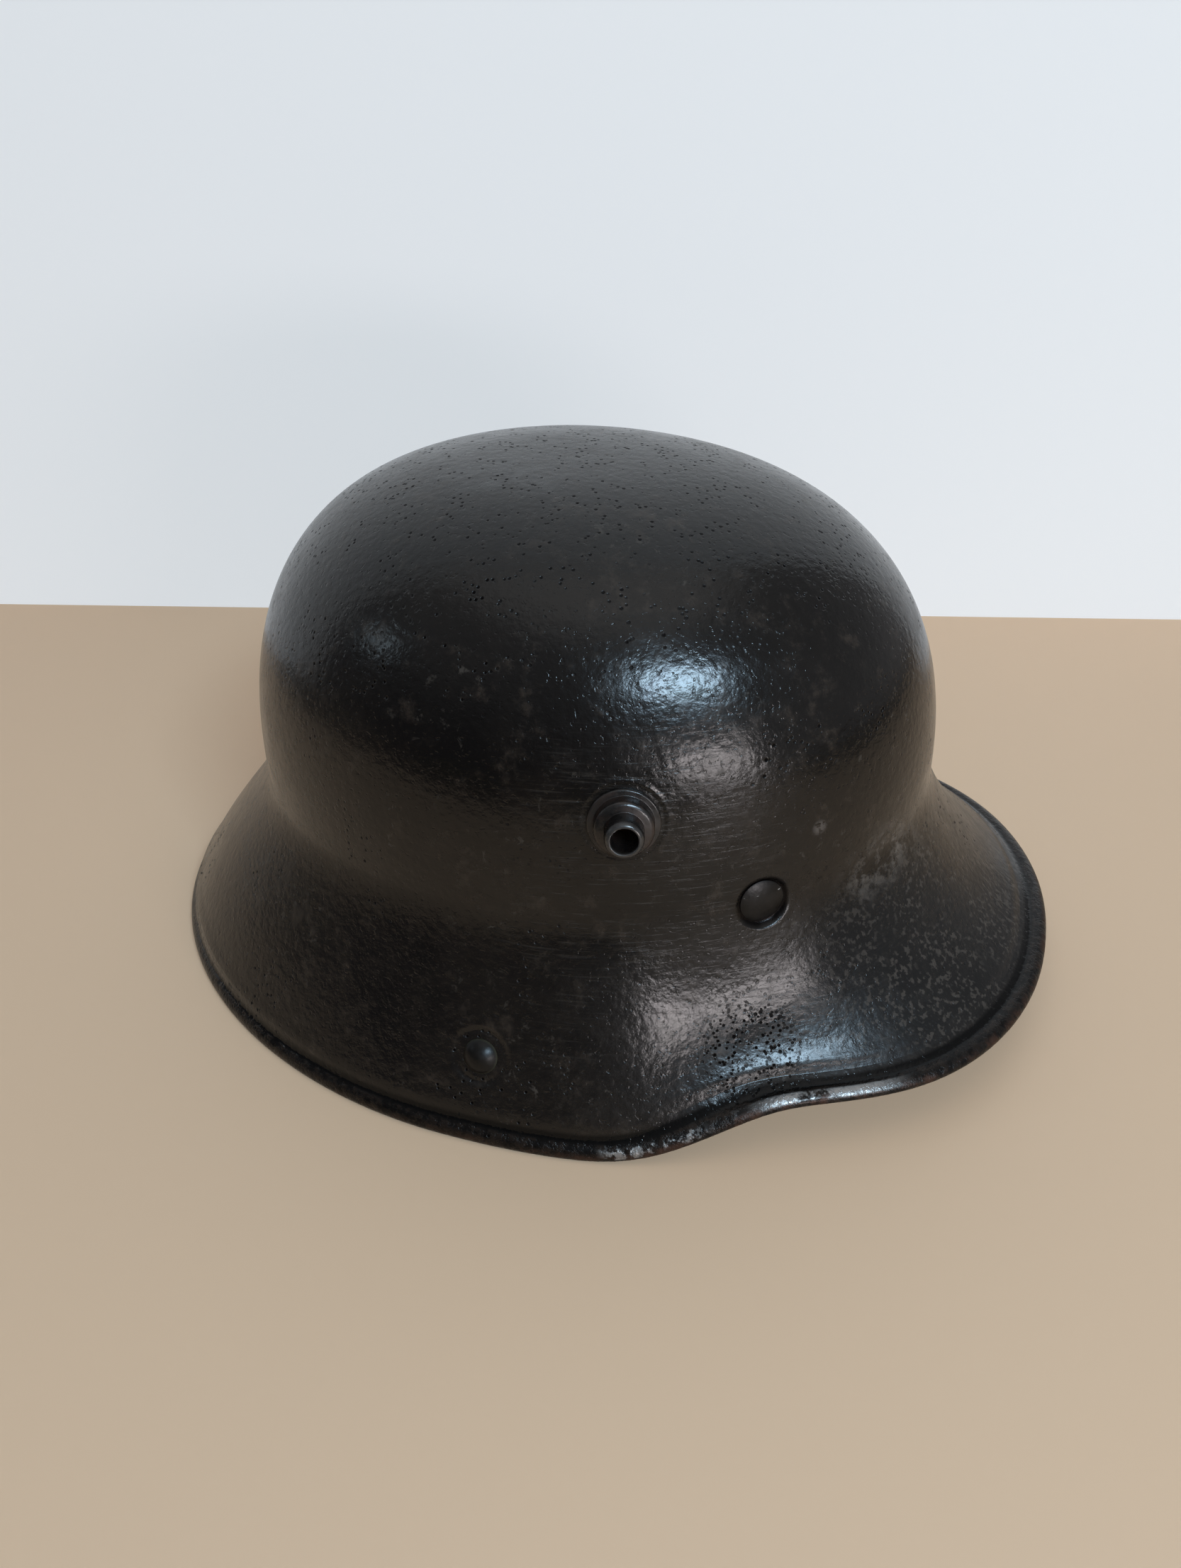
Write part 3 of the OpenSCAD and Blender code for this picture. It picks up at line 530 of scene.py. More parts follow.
RIVETS = []
RIVET_SHANK = [[0.02, -4.0], [2.4, -4.0], [2.4, 0], [5.1, 0]]
for seat, name in ((5, "right"), (6, "left")):
    rivet = turned("chin_rivet_head_" + name, RIVET_SHANK + dome_section(5.3, 2.7))
    finish_edges(rivet, 0.25)
    RIVETS.append(stand(rivet, seat, "chin_rivet_" + name))
print(len(RIVETS), "rivets")

# %% [markdown]
# The three liner pins are split pins: a low domed head outside, a shank through shell and band,
# and two flat legs that are bent apart over a washer. The legs could be cut from a curve. A cube
# pulled out at both ends, with each end face shrunk and lowered, gives the hammered tips.

# %% Liner pins
def spread_legs(name):
    use()
    bpy.ops.mesh.primitive_cube_add(size=MM, location=(0, 0, -6.15 * MM), scale=(5.0, 3.2, 1.2))
    legs = bpy.context.object
    legs.name = name
    bake_place()
    for side in (-1, 1):
        for reach, lower, shrink in ((2.0, 0.0, 1.0), (1.4, -0.12, 0.92), (0.5, -0.1, 0.75)):
            ends = middles_of(legs)[:, 0] * side
            pick(legs, "faces", ends > ends.max() - 1e-6)
            move = (side * reach * MM, 0, lower * MM)
            bpy.ops.mesh.extrude_region_move(TRANSFORM_OT_translate={"value": move})
            bpy.ops.transform.resize(value=(1, shrink, shrink))
            mode("OBJECT")
    finish_edges(legs, 0.2, 2)
    return legs


PINS = []
PIN_SHANK = [[0.02, -6.2], [2.0, -6.2], [2.0, 0], [6.4, 0]]
for seat, name in ((2, "front_right"), (3, "front_left"), (4, "rear")):
    pin = turned("pin_" + name, PIN_SHANK + dome_section(6.6, 1.3))
    finish_edges(pin, 0.25)
    legs = spread_legs("legs_" + name)
    use(pin, legs)
    bpy.ops.object.join()
    PINS.append(stand(pin, seat, "liner_pin_" + name))
print(len(PINS), "pins")

# %% [markdown]
# The liner is a leather band hung inside the shell, three pads sewn from the same hide, a cloth
# cushion behind each, and a lace through the finger tips. Leather could be draped by a cloth
# simulation, but stiff liner hide keeps its cut shape. So each sheet is a flat grid, bent as a
# saddler bends it, and its UV map is the flat cut in metres, which the grain and stitches follow.

# %% Bending a cut sheet
def bent_grid(name, across, along, bend, cut=None):
    """Adds a flat grid, bends it by bend(u, v) in millimetres and closes its seams."""
    use()
    bpy.ops.mesh.primitive_grid_add(x_subdivisions=across, y_subdivisions=along, size=1)
    ob = bpy.context.object
    ob.name = name
    flat = coordinates(ob)
    ob.data.vertices.foreach_set("co", (bend(flat[:, 0] + 0.5, flat[:, 1] + 0.5) * MM).ravel())
    if cut:
        corners = ob.data.uv_layers.active.uv
        uv = read(corners, "vector", 2)
        corners.foreach_set("vector", (cut(uv[:, 0], uv[:, 1]) * MM).ravel())
    closed_skin(2e-6)
    bpy.ops.object.shade_smooth()
    return ob


def close_ends(ob):
    """Fills each open end of a rolled grid."""
    pick(ob, "edges", np.zeros(len(ob.data.edges), bool))
    bpy.ops.mesh.select_non_manifold()
    bpy.ops.mesh.edge_face_add()
    closed_skin()


def strip_section(thick, wide, round_r=0.6, steps=10):
    """A strip's rounded cross-section as a closed list of [through, across]."""
    a, b = thick / 2 - round_r, wide / 2 - round_r
    corners = [(a, b, 0), (-a, b, 90), (-a, -b, 180), (a, -b, 270)]
    loop = [np.array((x + round_r * cos(v + k), y + round_r * sin(v + k)), float)
            for x, y, v in corners for k in (0, 30, 60, 90)]
    full = []
    for q, after in zip(loop, loop[1:] + loop[:1]):
        parts = steps if np.linalg.norm(after - q) > 4 * round_r else 1
        full += [mix(q, after, k / parts) for k in range(parts)]
    return np.array(full + [loop[0]])


def at_row(table, v):
    """Reads a table of rows at v from 0 to 1."""
    x = np.clip(v, 0, 1) * (len(table) - 1)
    i = np.clip(np.floor(x + 1e-6).astype(int), 0, len(table) - 2)
    return mix(table[i], table[i + 1], (x - i)[:, None] if table.ndim > 1 else x - i)


def lengths(points):
    return np.concatenate([[0], np.cumsum(np.linalg.norm(np.diff(points, axis=0), axis=1))])


def waist_out(t):
    return unit(stack(WAIST_Y * cos(t), WAIST_X * sin(t)))


def inset(t, away, z):
    """A point so far in from the waist, in millimetres."""
    return raised(waist(t) - waist_out(t) * np.asarray(away)[..., None], z)


# %% Leather band
BAND = strip_section(2.2, 34, 0.8, 12)
BAND_LENGTH = 2 * math.pi * 98


def band_bend(u, v):
    q = at_row(BAND, v)
    t = 360 * u + 90
    wave = 0.35 * sin(t * 5 + 40) * ease((q[:, 1] - 6) / 11)
    return inset(t, 5.3 - q[:, 0] + wave, 69 + q[:, 1])


band = bent_grid("band_leather", 192, len(BAND) - 1, band_bend,
                 lambda u, v: stack(u * BAND_LENGTH, at_row(BAND, v)[:, 1]))
place(band, "shell", "liner_band")
print("band", len(band.data.polygons), "faces")

# %% Leather pads with two fingers each
def curve(corners, q):
    """Points of a curve with four corners, at shares q of its way."""
    return bezier(*np.array(corners, float), np.asarray(q)[:, None])


# Distance in from the waist and height, where a pad's sheet runs from the band to the lace
PAD_CURVE = ((6.4, 58.5), (14.4, 80), (16.4, 118), (64, 138))
# Each pad: name, middle and half its spread, in degrees
PAD_PLACES = (("front", 0, 41), ("rear_right", -112, 50), ("rear_left", 112, 50))


def pad_rows(depth, s):
    """Distance in and height of a pad's sheet at levels s, moved in by depth."""
    at = curve(PAD_CURVE, s)
    ahead = curve(PAD_CURVE, np.asarray(s) + 0.01) - at
    return at + depth * aside(ahead)


LACE_AT = np.array(PAD_CURVE[3], float)
ALONG = np.array([0.92, 0.387])
ACROSS = np.array([0.387, -0.92])
foot = stack(np.full(5, 7.2), np.linspace(53.2, 58.3, 5))
rise_s = np.linspace(0.03, 0.88, 26)
rise = pad_rows(0.8, rise_s)
LOOP_R = 3.1
loop_start = LACE_AT + LOOP_R * ACROSS
under = curve((rise[-1], rise[-1] + ALONG * 1.6, loop_start - ALONG * 2.2, loop_start),
              np.linspace(0, 1, 6)[1:])
loop_a = np.linspace(0, 180, 13)[1:]
loop = LACE_AT + LOOP_R * (ACROSS * cos(loop_a)[:, None] + ALONG * sin(loop_a)[:, None])
lap_end = pad_rows(-0.86, [0.80])[0]
lap = curve((loop[-1], loop[-1] - ALONG * 2.4, lap_end + ALONG * 3.0, lap_end),
            np.linspace(0, 1, 9)[1:])
PAD_PATH = np.vstack([foot, rise, under, loop, lap])
PAD_LENGTH = lengths(PAD_PATH)
# Rows of the path where its rise ends and where the fingers part
TOP_ROW, NOTCH_ROW = len(foot) + len(rise) - 1, 14
tip_s = np.full(len(PAD_PATH) - TOP_ROW - 1, 0.95)
PAD_S = np.concatenate([np.zeros(len(foot)), rise_s, tip_s])
LAP_AT = PAD_LENGTH[TOP_ROW] + 1.5
print("pad path", len(PAD_PATH), "rows,", round(float(PAD_LENGTH[-1]), 1), "mm")
FINGER_COLUMNS = 12


def pad_turns(u, v, mid, half):
    """Turn round the head, turn off the finger's middle, and which finger, -1 or 1."""
    column = np.rint(u * (2 * FINGER_COLUMNS + 1)).astype(int)
    finger = np.where(column <= FINGER_COLUMNS, -1, 1)
    inner = np.where(finger < 0, column, column - FINGER_COLUMNS - 1)
    across = 2 * inner / FINGER_COLUMNS - 1
    s = at_row(PAD_S, v)
    slit = 0.55 * ease((s - 0.30) / 0.08)
    share = ease((s - 0.36) / 0.59)
    reach = mix(half / 2 - slit * 0.5, 6.5, share)
    round_foot = 1 - 0.018 * ease((57 - at_row(PAD_PATH, v)[:, 1]) / 4)
    turn = mid + finger * half / 2 * round_foot + reach * across * round_foot
    return turn, reach * across, finger


def leather_pad(name, mid, half):
    def bend(u, v):
        t, _, _ = pad_turns(u, v, mid, half)
        p, s = at_row(PAD_PATH, v), at_row(PAD_S, v)
        ripple = 0.5 * sin((t - mid) * 7) * ease((s - 0.1) / 0.2) * ease((0.8 - s) / 0.3)
        return inset(t, p[:, 0] + ripple, p[:, 1])

    def cut(u, v):
        _, off, finger = pad_turns(u, v, mid, half)
        width = np.radians(off) * (104 - at_row(PAD_PATH, v)[:, 0])
        return stack(width + finger * 60, at_row(PAD_LENGTH, v))
    pad = bent_grid(name, 2 * FINGER_COLUMNS + 1, len(PAD_PATH) - 1, bend, cut)
    # The narrow middle column is cut out above the notch, which parts the two fingers
    flat = read(pad.data.uv_layers.active.uv, "vector", 2) / MM
    slit = np.zeros(len(pad.data.polygons), bool)
    for face in pad.data.polygons:
        corners = flat[face.loop_start:face.loop_start + face.loop_total]
        spans = np.ptp(np.sign(corners[:, 0])) > 0
        slit[face.index] = spans and corners[:, 1].min() > PAD_LENGTH[NOTCH_ROW]
    delete_faces(pad, slit)
    applied(pad, "SOLIDIFY", thickness=1.55 * MM, offset=0.0)
    applied(pad, "BEVEL", width=0.45 * MM, segments=2, limit_method="ANGLE")
    applied(pad, "SUBSURF", levels=1, render_levels=1)
    bpy.ops.object.shade_smooth()
    return pad


PADS = []
for name, mid, half in PAD_PLACES:
    pad = leather_pad("leather_pad_" + name, mid, half)
    place(pad, "shell", "pad_" + name)
    PADS.append(pad)
print("pads", [len(o.data.polygons) for o in PADS], "faces")

# %% [markdown]
# A horsehair-filled linen cushion sits behind each pad. It could be sculpted, but stuffed cloth
# puckers in a way that a simulation finds by itself. The closed form is made a little thin,
# remeshed, blown up by a cloth simulation under pressure, and its movement is capped so that it
# stays between the band and the pad.

# %% Stuffed cushions
def cushion_room(z):
    """How near to the waist a cushion may come at a height, and how far from it."""
    path = curve(PAD_CURVE, np.linspace(0, 1, 200))
    return 6.7, np.interp(z, path[:, 1], path[:, 0]) - 0.3


def cushion_form(name, mid, half):
    reach = half - 7.5

    def bend(u, v):
        along = 2 * u - 1
        a = 360 * v
        tall = np.sign(sin(a)) * np.abs(sin(a)) ** 0.7
        z = 81.5 + 16.8 * tall * (1 - 0.12 * np.abs(along) ** 6)
        near, far = cushion_room(z)
        puff = np.maximum(1 - np.abs(along) ** 4, 0) ** 0.5
        thick = np.maximum(0.7, (far - near) / 2 * 0.86 * puff * np.abs(cos(a)) ** 0.75)
        return inset(mid + along * reach, (near + far) / 2 + np.sign(cos(a)) * thick, z)
    ob = bent_grid(name, 56, 40, bend)
    close_ends(ob)
    return ob


def waist_frame(points):
    """Turn round the head and distance in from the waist, for points in millimetres."""
    t = np.degrees(np.arctan2(points[:, 1] / WAIST_Y, (points[:, 0] - WAIST_BACK) / WAIST_X))
    for _ in range(6):
        n = waist_out(t)
        away = ((waist(t) - points[:, :2]) * n).sum(1)
        off = points[:, :2] + n * away[:, None] - waist(t)
        along = stack(-WAIST_X * sin(t), WAIST_Y * cos(t))
        t = t + np.degrees((off * along).sum(1) / (along ** 2).sum(1))
    return t, away


CLOTH = {
    "use_pressure": True, "uniform_pressure_force": 4, "shrink_min": -0.03,
    "tension_stiffness": 8, "compression_stiffness": 2, "bending_stiffness": 0.2,
}


def stuffed(ob, frames=20, cap=1.4):
    """Blows a closed cloth form up by simulation, and keeps it in its room."""
    use(ob)
    applied(ob, "REMESH", mode="VOXEL", voxel_size=2.6 * MM)
    before = coordinates(ob)
    cloth = ob.modifiers.new("blown cloth", "CLOTH")
    cloth.settings.effector_weights.gravity = 0
    for key, value in CLOTH.items():
        setattr(cloth.settings, key, value)
    for frame_number in range(1, frames + 1):
        bpy.context.scene.frame_set(frame_number)
    bpy.ops.object.modifier_apply(modifier=cloth.name)
    bpy.context.scene.frame_set(1)
    move = coordinates(ob) - before
    far = np.linalg.norm(move, axis=1) / MM
    move *= np.minimum(1, cap / np.maximum(far, 1e-9))[:, None]
    points = (before + move) / MM
    t, away = waist_frame(points)
    near, far = cushion_room(points[:, 2])
    points = inset(t, np.clip(away, near, np.maximum(far, near + 0.2)), points[:, 2])
    ob.data.vertices.foreach_set("co", (points * MM).ravel())
    ob.data.update()
    applied(ob, "SUBSURF", levels=1, render_levels=1)
    bpy.ops.object.shade_smooth()
    points = coordinates(ob) / MM
    t, away = waist_frame(points)
    record(ob, "weave", stack(np.radians(t) * 95, points[:, 2], away) * MM)
    return ob


CUSHIONS = []
for name, mid, half in PAD_PLACES:
    cushion = stuffed(cushion_form("stuffed_cushion_" + name, mid, half))
    place(cushion, "shell", "cushion_" + name)
    CUSHIONS.append(cushion)
print("cushions", [len(o.data.polygons) for o in CUSHIONS], "faces")

# %% [markdown]
# The lace is a closed cord of three twisted strands that draws the six finger tips together.
# Three curves could be wound round each other. One grid rolled into a ring, with three lobes
# that turn as it goes round, looks the same from outside and stays one closed skin.

# %% Twisted lace
def lace_bend(u, v):
    t = 360 * u
    turns = 360 * v + t * 56
    r = 1.3 * (0.74 + 0.26 * np.abs(cos(turns * 1.5)) ** 0.6)
    away, z = LACE_AT
    c = inset(t, away + 0 * t, z)
    n = inset(t, away - 1 + 0 * t, z) - c
    up = np.array([0, 0, 1])
    return c + n * (r * cos(360 * v))[:, None] + up * (r * sin(360 * v))[:, None]


LACE_LENGTH, LACE_ROUND = 260, 8
lace = bent_grid("twisted_lace", 1200, 18, lace_bend,
                 lambda u, v: stack(u * LACE_LENGTH, v * LACE_ROUND))
place(lace, "shell", "pad_lace")
print("lace", len(lace.data.polygons), "faces")

# %% [markdown]
# The chin strap is one strip of harness leather. Each end passes round the bar of a hook, is
# doubled back and riveted. It could be drawn as a curve with a bevel profile. A rolled grid on
# a worked-out path keeps the strip's thickness and width exact, where the buckles slide.

# %% Chin strap
HINGE = np.array([3.1808, 0, 23.169])
TILT = math.radians(7.0325)
HOOK_Y = 99.4358
REACH = 127.981
DOUBLED_TO = 52.4
# The hook's bar that the loop passes round: distance behind the hinge, and the loop's radius
BAR_AT, BAR_R = 17.5, 2.2


# Centre line of the left half: from the doubled end, round the hook's bar, to the middle
behind = np.concatenate([np.linspace(DOUBLED_TO, 27, 14), np.linspace(26, 21, 9), [19.2, BAR_AT]])
off = -mix(0.9, BAR_R, ease((26 - behind) / 5))
a = np.linspace(-90, -270, 17)[1:-1]
ring = stack(BAR_AT + BAR_R * cos(a), HOOK_Y + BAR_R * sin(a))
b = np.linspace(0, 90, 46)[1:]
bow = stack(DOUBLED_TO + (REACH - DOUBLED_TO - 0.9) * sin(b), (HOOK_Y + 0.9) * cos(b))
doubled, outer = stack(behind, HOOK_Y + off), stack(behind, HOOK_Y - off)[::-1]
half_line = np.vstack([doubled, ring, outer, bow])
STRAP_LINE = np.vstack([half_line, (half_line * (1, -1))[-2::-1]])
STRAP_CUT = lengths(STRAP_LINE)
STRAP = strip_section(1.76, 14, 0.55, 8)
STRAP_SIDE = aside(np.gradient(STRAP_LINE, axis=0))
print("strap leather", round(float(STRAP_CUT[-1])), "mm long")


def strap_bend(u, v):
    q = at_row(STRAP, v)
    cut = at_row(STRAP_CUT, u)
    taper = np.minimum(ease(cut / 3), ease((STRAP_CUT[-1] - cut) / 3))
    h = q[:, 1] * mix(0.86, 1, taper)
    d, y = (at_row(STRAP_LINE, u) + at_row(STRAP_SIDE, u) * q[:, :1]).T
    # From the strap's own frame, which leans back through the hinge, to the helmet's
    x = HINGE[0] - d * math.cos(TILT) - h * math.sin(TILT)
    return stack(x, y, HINGE[2] - d * math.sin(TILT) + h * math.cos(TILT))


strap = bent_grid("harness_strap", len(STRAP_LINE) - 1, len(STRAP) - 1, strap_bend,
                  lambda u, v: stack(at_row(STRAP_CUT, u), at_row(STRAP, v)[:, 1]))
close_ends(strap)
bpy.ops.object.shade_smooth_by_angle(angle=math.radians(50))
place(strap, "chin_strap", "chin_strap")
print("strap", len(strap.data.polygons), "faces")

# %% [markdown]
# The lugs, hooks, buckles, washers and rivets are exact in the CAD, but its edges are razor
# sharp. Real stampings have rolled edges that catch the light. Each node is copied, its loose
# triangles are merged into clean faces, and a bevel rounds every edge.

# %% Stamped fittings with rounded edges
def rounded_copy(node, name, body, width):
    source = next(o for o in bpy.context.scene.objects if o.get("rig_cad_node") == node)
    use(source)
    bpy.ops.object.duplicate(linked=False)
    ob = bpy.context.object
    ob.name = name
    for key in [k for k in ob.keys() if k.startswith("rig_")]:
        del ob[key]
    closed_skin(5e-6, 1.5)
    finish_edges(ob, width, 2, 30)
    place(ob, body, node)
    return ob


FITTINGS = []
for node, body, width in (
        ("chin_lug_right", "shell", 0.3), ("chin_lug_left", "shell", 0.3),
        ("strap_hook_right", "chin_strap", 0.3), ("strap_hook_left", "chin_strap", 0.3),
        ("buckle_right", "buckle_right", 0.15), ("buckle_left", "buckle_left", 0.15),
        ("strap_rivets", "chin_strap", 0.12), ("pad_rivets", "shell", 0.12),
        ("pin_washers", "shell", 0.15), ("pin_spacers", "shell", 0.15)):
    FITTINGS.append(rounded_copy(node, "rounded_" + node, body, width))
print("fittings", [len(o.data.polygons) for o in FITTINGS], "faces")

# %% [markdown]
# Dark oiled steel is hardly a colour at all: nearly everything it shows is reflection. It could
# be a dark metal, but that tints the window brown. An almost black brown under a clear
# reflection, with a thin coat for the oil, keeps the highlight as blue as the daylight. Only
# the bare patches on the rolled edge, and grime and painted shade that reflect next to nothing,
# are metal.
#
# Node trees are long to write out. A small class holds a node's output instead, so that masks
# are multiplied and added as plain sums; the bar between two masks takes the larger.

# %% Node helpers
class Wire:
    """A node's output, on which sums and short calls add further nodes of the same tree."""

    def __init__(self, socket):
        self.socket = socket

    def node(self, kind, output=0, inputs=None, **settings):
        """Adds a node, feeds its inputs and gives one of its outputs."""
        made = self.socket.id_data.nodes.new("ShaderNode" + kind)
        for key, value in settings.items():
            setattr(made, key, value)
        for key, value in (inputs or {}).items():
            feed(made.inputs[key], value)
        return Wire(made.outputs[output])

    def maths(self, operation, other=0.0):
        return self.node("Math", 0, {0: self, 1: other}, operation=operation)

    def __mul__(self, other):
        return self.maths("MULTIPLY", other)

    def __add__(self, other):
        return self.maths("ADD", other)

    def __sub__(self, other):
        return self.maths("SUBTRACT", other)

    def __or__(self, other):
        return self.maths("MAXIMUM", other)

    def noise(self, scale, detail, rough=0.5, distortion=0.0):
        inputs = {"Vector": self, "Scale": scale, "Detail": detail, "Roughness": rough}
        return self.node("TexNoise", "Fac", {**inputs, "Distortion": distortion})

    def cells(self, scale):
        return self.node("TexVoronoi", "Distance", {"Vector": self, "Scale": scale})

    def stretch(self, scale, rotation=(0, 0, 0)):
        return self.node("Mapping", 0, {"Vector": self, "Scale": scale, "Rotation": rotation})

    def split(self):
        return [self.node("SeparateXYZ", axis, {0: self}) for axis in "XYZ"]

    def ramp(self, low, high, out_low=0.0, out_high=1.0):
        """Runs smoothly from out_low at low to out_high at high."""
        inputs = {"Value": self, "From Min": low, "From Max": high}
        inputs.update({"To Min": out_low, "To Max": out_high})
        return self.node("MapRange", 0, inputs, interpolation_type="SMOOTHSTEP")

    def between(self, low, high, soft):
        """1 between low and high, fading over soft."""
        return self.ramp(low - soft, low) * self.ramp(high, high + soft, 1, 0)

    def near(self, centre, inner, outer):
        """1 within inner of a spot, fading to 0 at outer, all in metres."""
        away = self.node("VectorMath", "Value", {0: self, 1: centre}, operation="DISTANCE")
        return away.ramp(inner, outer, 1, 0)

    def bump(self, distance, strength):
        inputs = {"Height": self, "Distance": distance, "Strength": strength}
        return self.node("Bump", 0, inputs)


def feed(socket, value):
    """Gives an input a wire, a number, a vector or a colour."""
    if isinstance(value, Wire):
        socket.id_data.links.new(value.socket, socket)
    elif socket.type == "RGBA":
        socket.default_value = (*value, 1)
    else:
        socket.default_value = value


def layered(colour, *layers):
    """Lays colours over one another: each layer is an amount from 0 to 1 and its colour."""
    for amount, over in layers:
        colour = amount.node("Mix", 2, {0: amount, 6: colour, 7: over}, data_type="RGBA")
    return colour


def new_material(name, build, *details):
    """Makes a material; build gives its shader inputs from the Object coordinates."""
    made = bpy.data.materials.new(name)
    made.use_nodes = True
    nodes = made.node_tree.nodes
    where = Wire(nodes.new("ShaderNodeTexCoord").outputs["Object"])
    for key, value in build(where, *details).items():
        feed(nodes["Principled BSDF"].inputs[key], value)
    return made


def dress(pieces, material):
    for ob in pieces:
        ob.data.materials.clear()
        ob.data.materials.append(material)
    print(material.name, "on", len(pieces))


# %% Shell steel
BLACK = (0.004, 0.003, 0.003)
# Places on the skin, in metres: beside the visor, above it, on its edge and at the right temple
VALLEY = (0.0766, -0.0892, 0.0271)
CREASE = (0.108, -0.040, 0.053)
EDGE_WEAR = (0.099, -0.088, 0.019)
CHIP = (0.0859, -0.0596, 0.0865)
# Where the crown's scuff lies, painted lighter as a highlight
CROWN_SCUFF_HIGHLIGHT = (-0.008, -0.022, 0.158)
LUGS = ((0.046, -0.090, 0.084), (0.046, 0.090, 0.084))
# Rows of the flat grid, which go over the rolled edge and back inside
GROOVE_ROWS = (93.5, 98.5)
LIP_ROWS = (99, 123)
CREST_ROWS = (101, 105)
RUST_ROWS = (105, 121)


def shell_steel(where):
    row = where.node("Attribute", "Fac", attribute_name="row")
    x, _, z = where.split()
    clouds = where.noise(22, 4, 0.6)
    mottle = where.noise(105, 6, 0.72)
    # Old paint and rust left as soft pale specks, in patches
    specks = where.noise(270, 5, 0.7, 0.4).ramp(0.58, 0.72)
    specks = specks * where.noise(35, 2).ramp(0.44, 0.64)
    # Clusters of small black pits, thickest on the crown and in the valley beside the visor
    valley = where.near(VALLEY, 0.010, 0.019)
    clusters = where.noise(30, 2).ramp(0.52, 0.64) | z.ramp(0.125, 0.150, 0, 0.8) | valley
    pits = where.cells(460).ramp(0.14, 0.30, 1, 0) * where.noise(140, 1).ramp(0.48, 0.54)
    small = where.cells(760).ramp(0.24, 0.38, 1, 0) * where.noise(260, 1).ramp(0.42, 0.50)
    pits = pits * clusters | small * valley
    # Faint level brushing round the vent lugs and here and there
    brushed = where.stretch((85, 85, 1500), (0, 0.16, 0)).noise(1.0, 4, 0.65).ramp(0.52, 0.74)
    right_lug, left_lug = (where.near(lug, 0.014, 0.055) for lug in LUGS)
    scratch = brushed * (right_lug | left_lug | where.noise(12, 1).ramp(0.55, 0.7, 0, 0.5))
    # Greyer patch where hands rub the crease above the visor, a chip, and a scuff on the crown
    # whose lighter grey is partly a painted highlight
    crease = row.between(50, 64, 6) * x.ramp(0.070, 0.100) * where.near(CREASE, 0.010, 0.030)
    crease = crease * where.noise(130, 6, 0.75).ramp(0.42, 0.60)
    chip = where.near(CHIP, 0.0008, 0.0030) * where.noise(600, 3, 0.6).ramp(0.38, 0.52)
    scuff_and_highlight = where.stretch((0.5, 1, 1)).near(CROWN_SCUFF_HIGHLIGHT, 0.003, 0.014)
    scuff_and_highlight = scuff_and_highlight * where.noise(160, 3, 0.6).ramp(0.42, 0.6)
    # The visor's top, darker, with flecks
    visor = row.between(66, 90, 5) * x.ramp(0.075, 0.11)
    flecks = where.noise(640, 2).ramp(0.52, 0.64) * where.noise(60, 3, 0.6).ramp(0.34, 0.50)
    # Painted shade: a black ring, which reflects nothing, in the gap round each pin head
    first, second, third = (
        where.near(tuple(float(v) * MM for v in centre), 0.0072, 0.0084)
        for centre, _ in PIN_SEATS)
    ring = first | second | third
    # The rolled edge: black gloss in the groove, bare metal on the crest, rust on the lip
    groove = row.between(*GROOVE_ROWS, 1.5)
    lip = row.between(*LIP_ROWS, 2)
    grain = lip * where.noise(380, 4, 0.7).ramp(0.42, 0.60)
    sliding = where.near(EDGE_WEAR, 0.010, 0.026)
    rubbed = where.noise(210, 4, 0.7).ramp(0.50, 0.60)
    rubbed = rubbed * (sliding | where.noise(24, 2).ramp(0.55, 0.66))
    rubbed = rubbed | sliding * where.noise(130, 4, 0.7).ramp(0.36, 0.52)
    worn = row.between(*CREST_ROWS, 1.5) * rubbed
    rust = row.between(*RUST_ROWS, 3) * where.noise(110, 5, 0.7, 0.3).ramp(0.46, 0.60)
    rust = rust * x.ramp(-0.02, 0.06, 0.35, 1)
    # The inside keeps more of its dull brown paint
    inside = row.ramp(121, 128)
    paint = layered((0.046, 0.038, 0.028), (clouds.ramp(0.4, 0.62), (0.085, 0.056, 0.036)))
    colour = layered(
        (0.0022, 0.0017, 0.0014),
        (clouds.ramp(0.35, 0.7), (0.0064, 0.0046, 0.0034)),
        (mottle.ramp(0.53, 0.74, 0, 0.8), (0.028, 0.0200, 0.0145)),
        (where.noise(300, 5, 0.65).ramp(0.45, 0.70, 0, 0.7), (0.002, 0.0015, 0.0012)),
        (specks * 0.75, (0.044, 0.036, 0.029)),
        (pits, BLACK),
        (scratch * 0.5, (0.046, 0.041, 0.036)),
        (crease * 0.85, (0.100, 0.086, 0.074)),
        (visor * 0.6, (0.004, 0.004, 0.004)),
        (visor * flecks * 0.8, (0.042, 0.035, 0.029)),
        # painted shade in the gap round each pin head
        (ring, BLACK),
        (chip * 0.8, (0.075, 0.062, 0.054)),
        # a scuff, painted lighter grey as a highlight on the crown
        (scuff_and_highlight * 0.3, (0.09, 0.085, 0.08)),
        (groove, (0.003, 0.003, 0.003)),
        (lip * 0.85, (0.003, 0.0024, 0.0022)),
        (grain * 0.6, (0.022, 0.0150, 0.0110)),
        (worn * 0.8, (0.34, 0.33, 0.32)),
        (rust * 0.85, (0.040, 0.018, 0.0105)),
        (inside * 0.85, paint),
    )
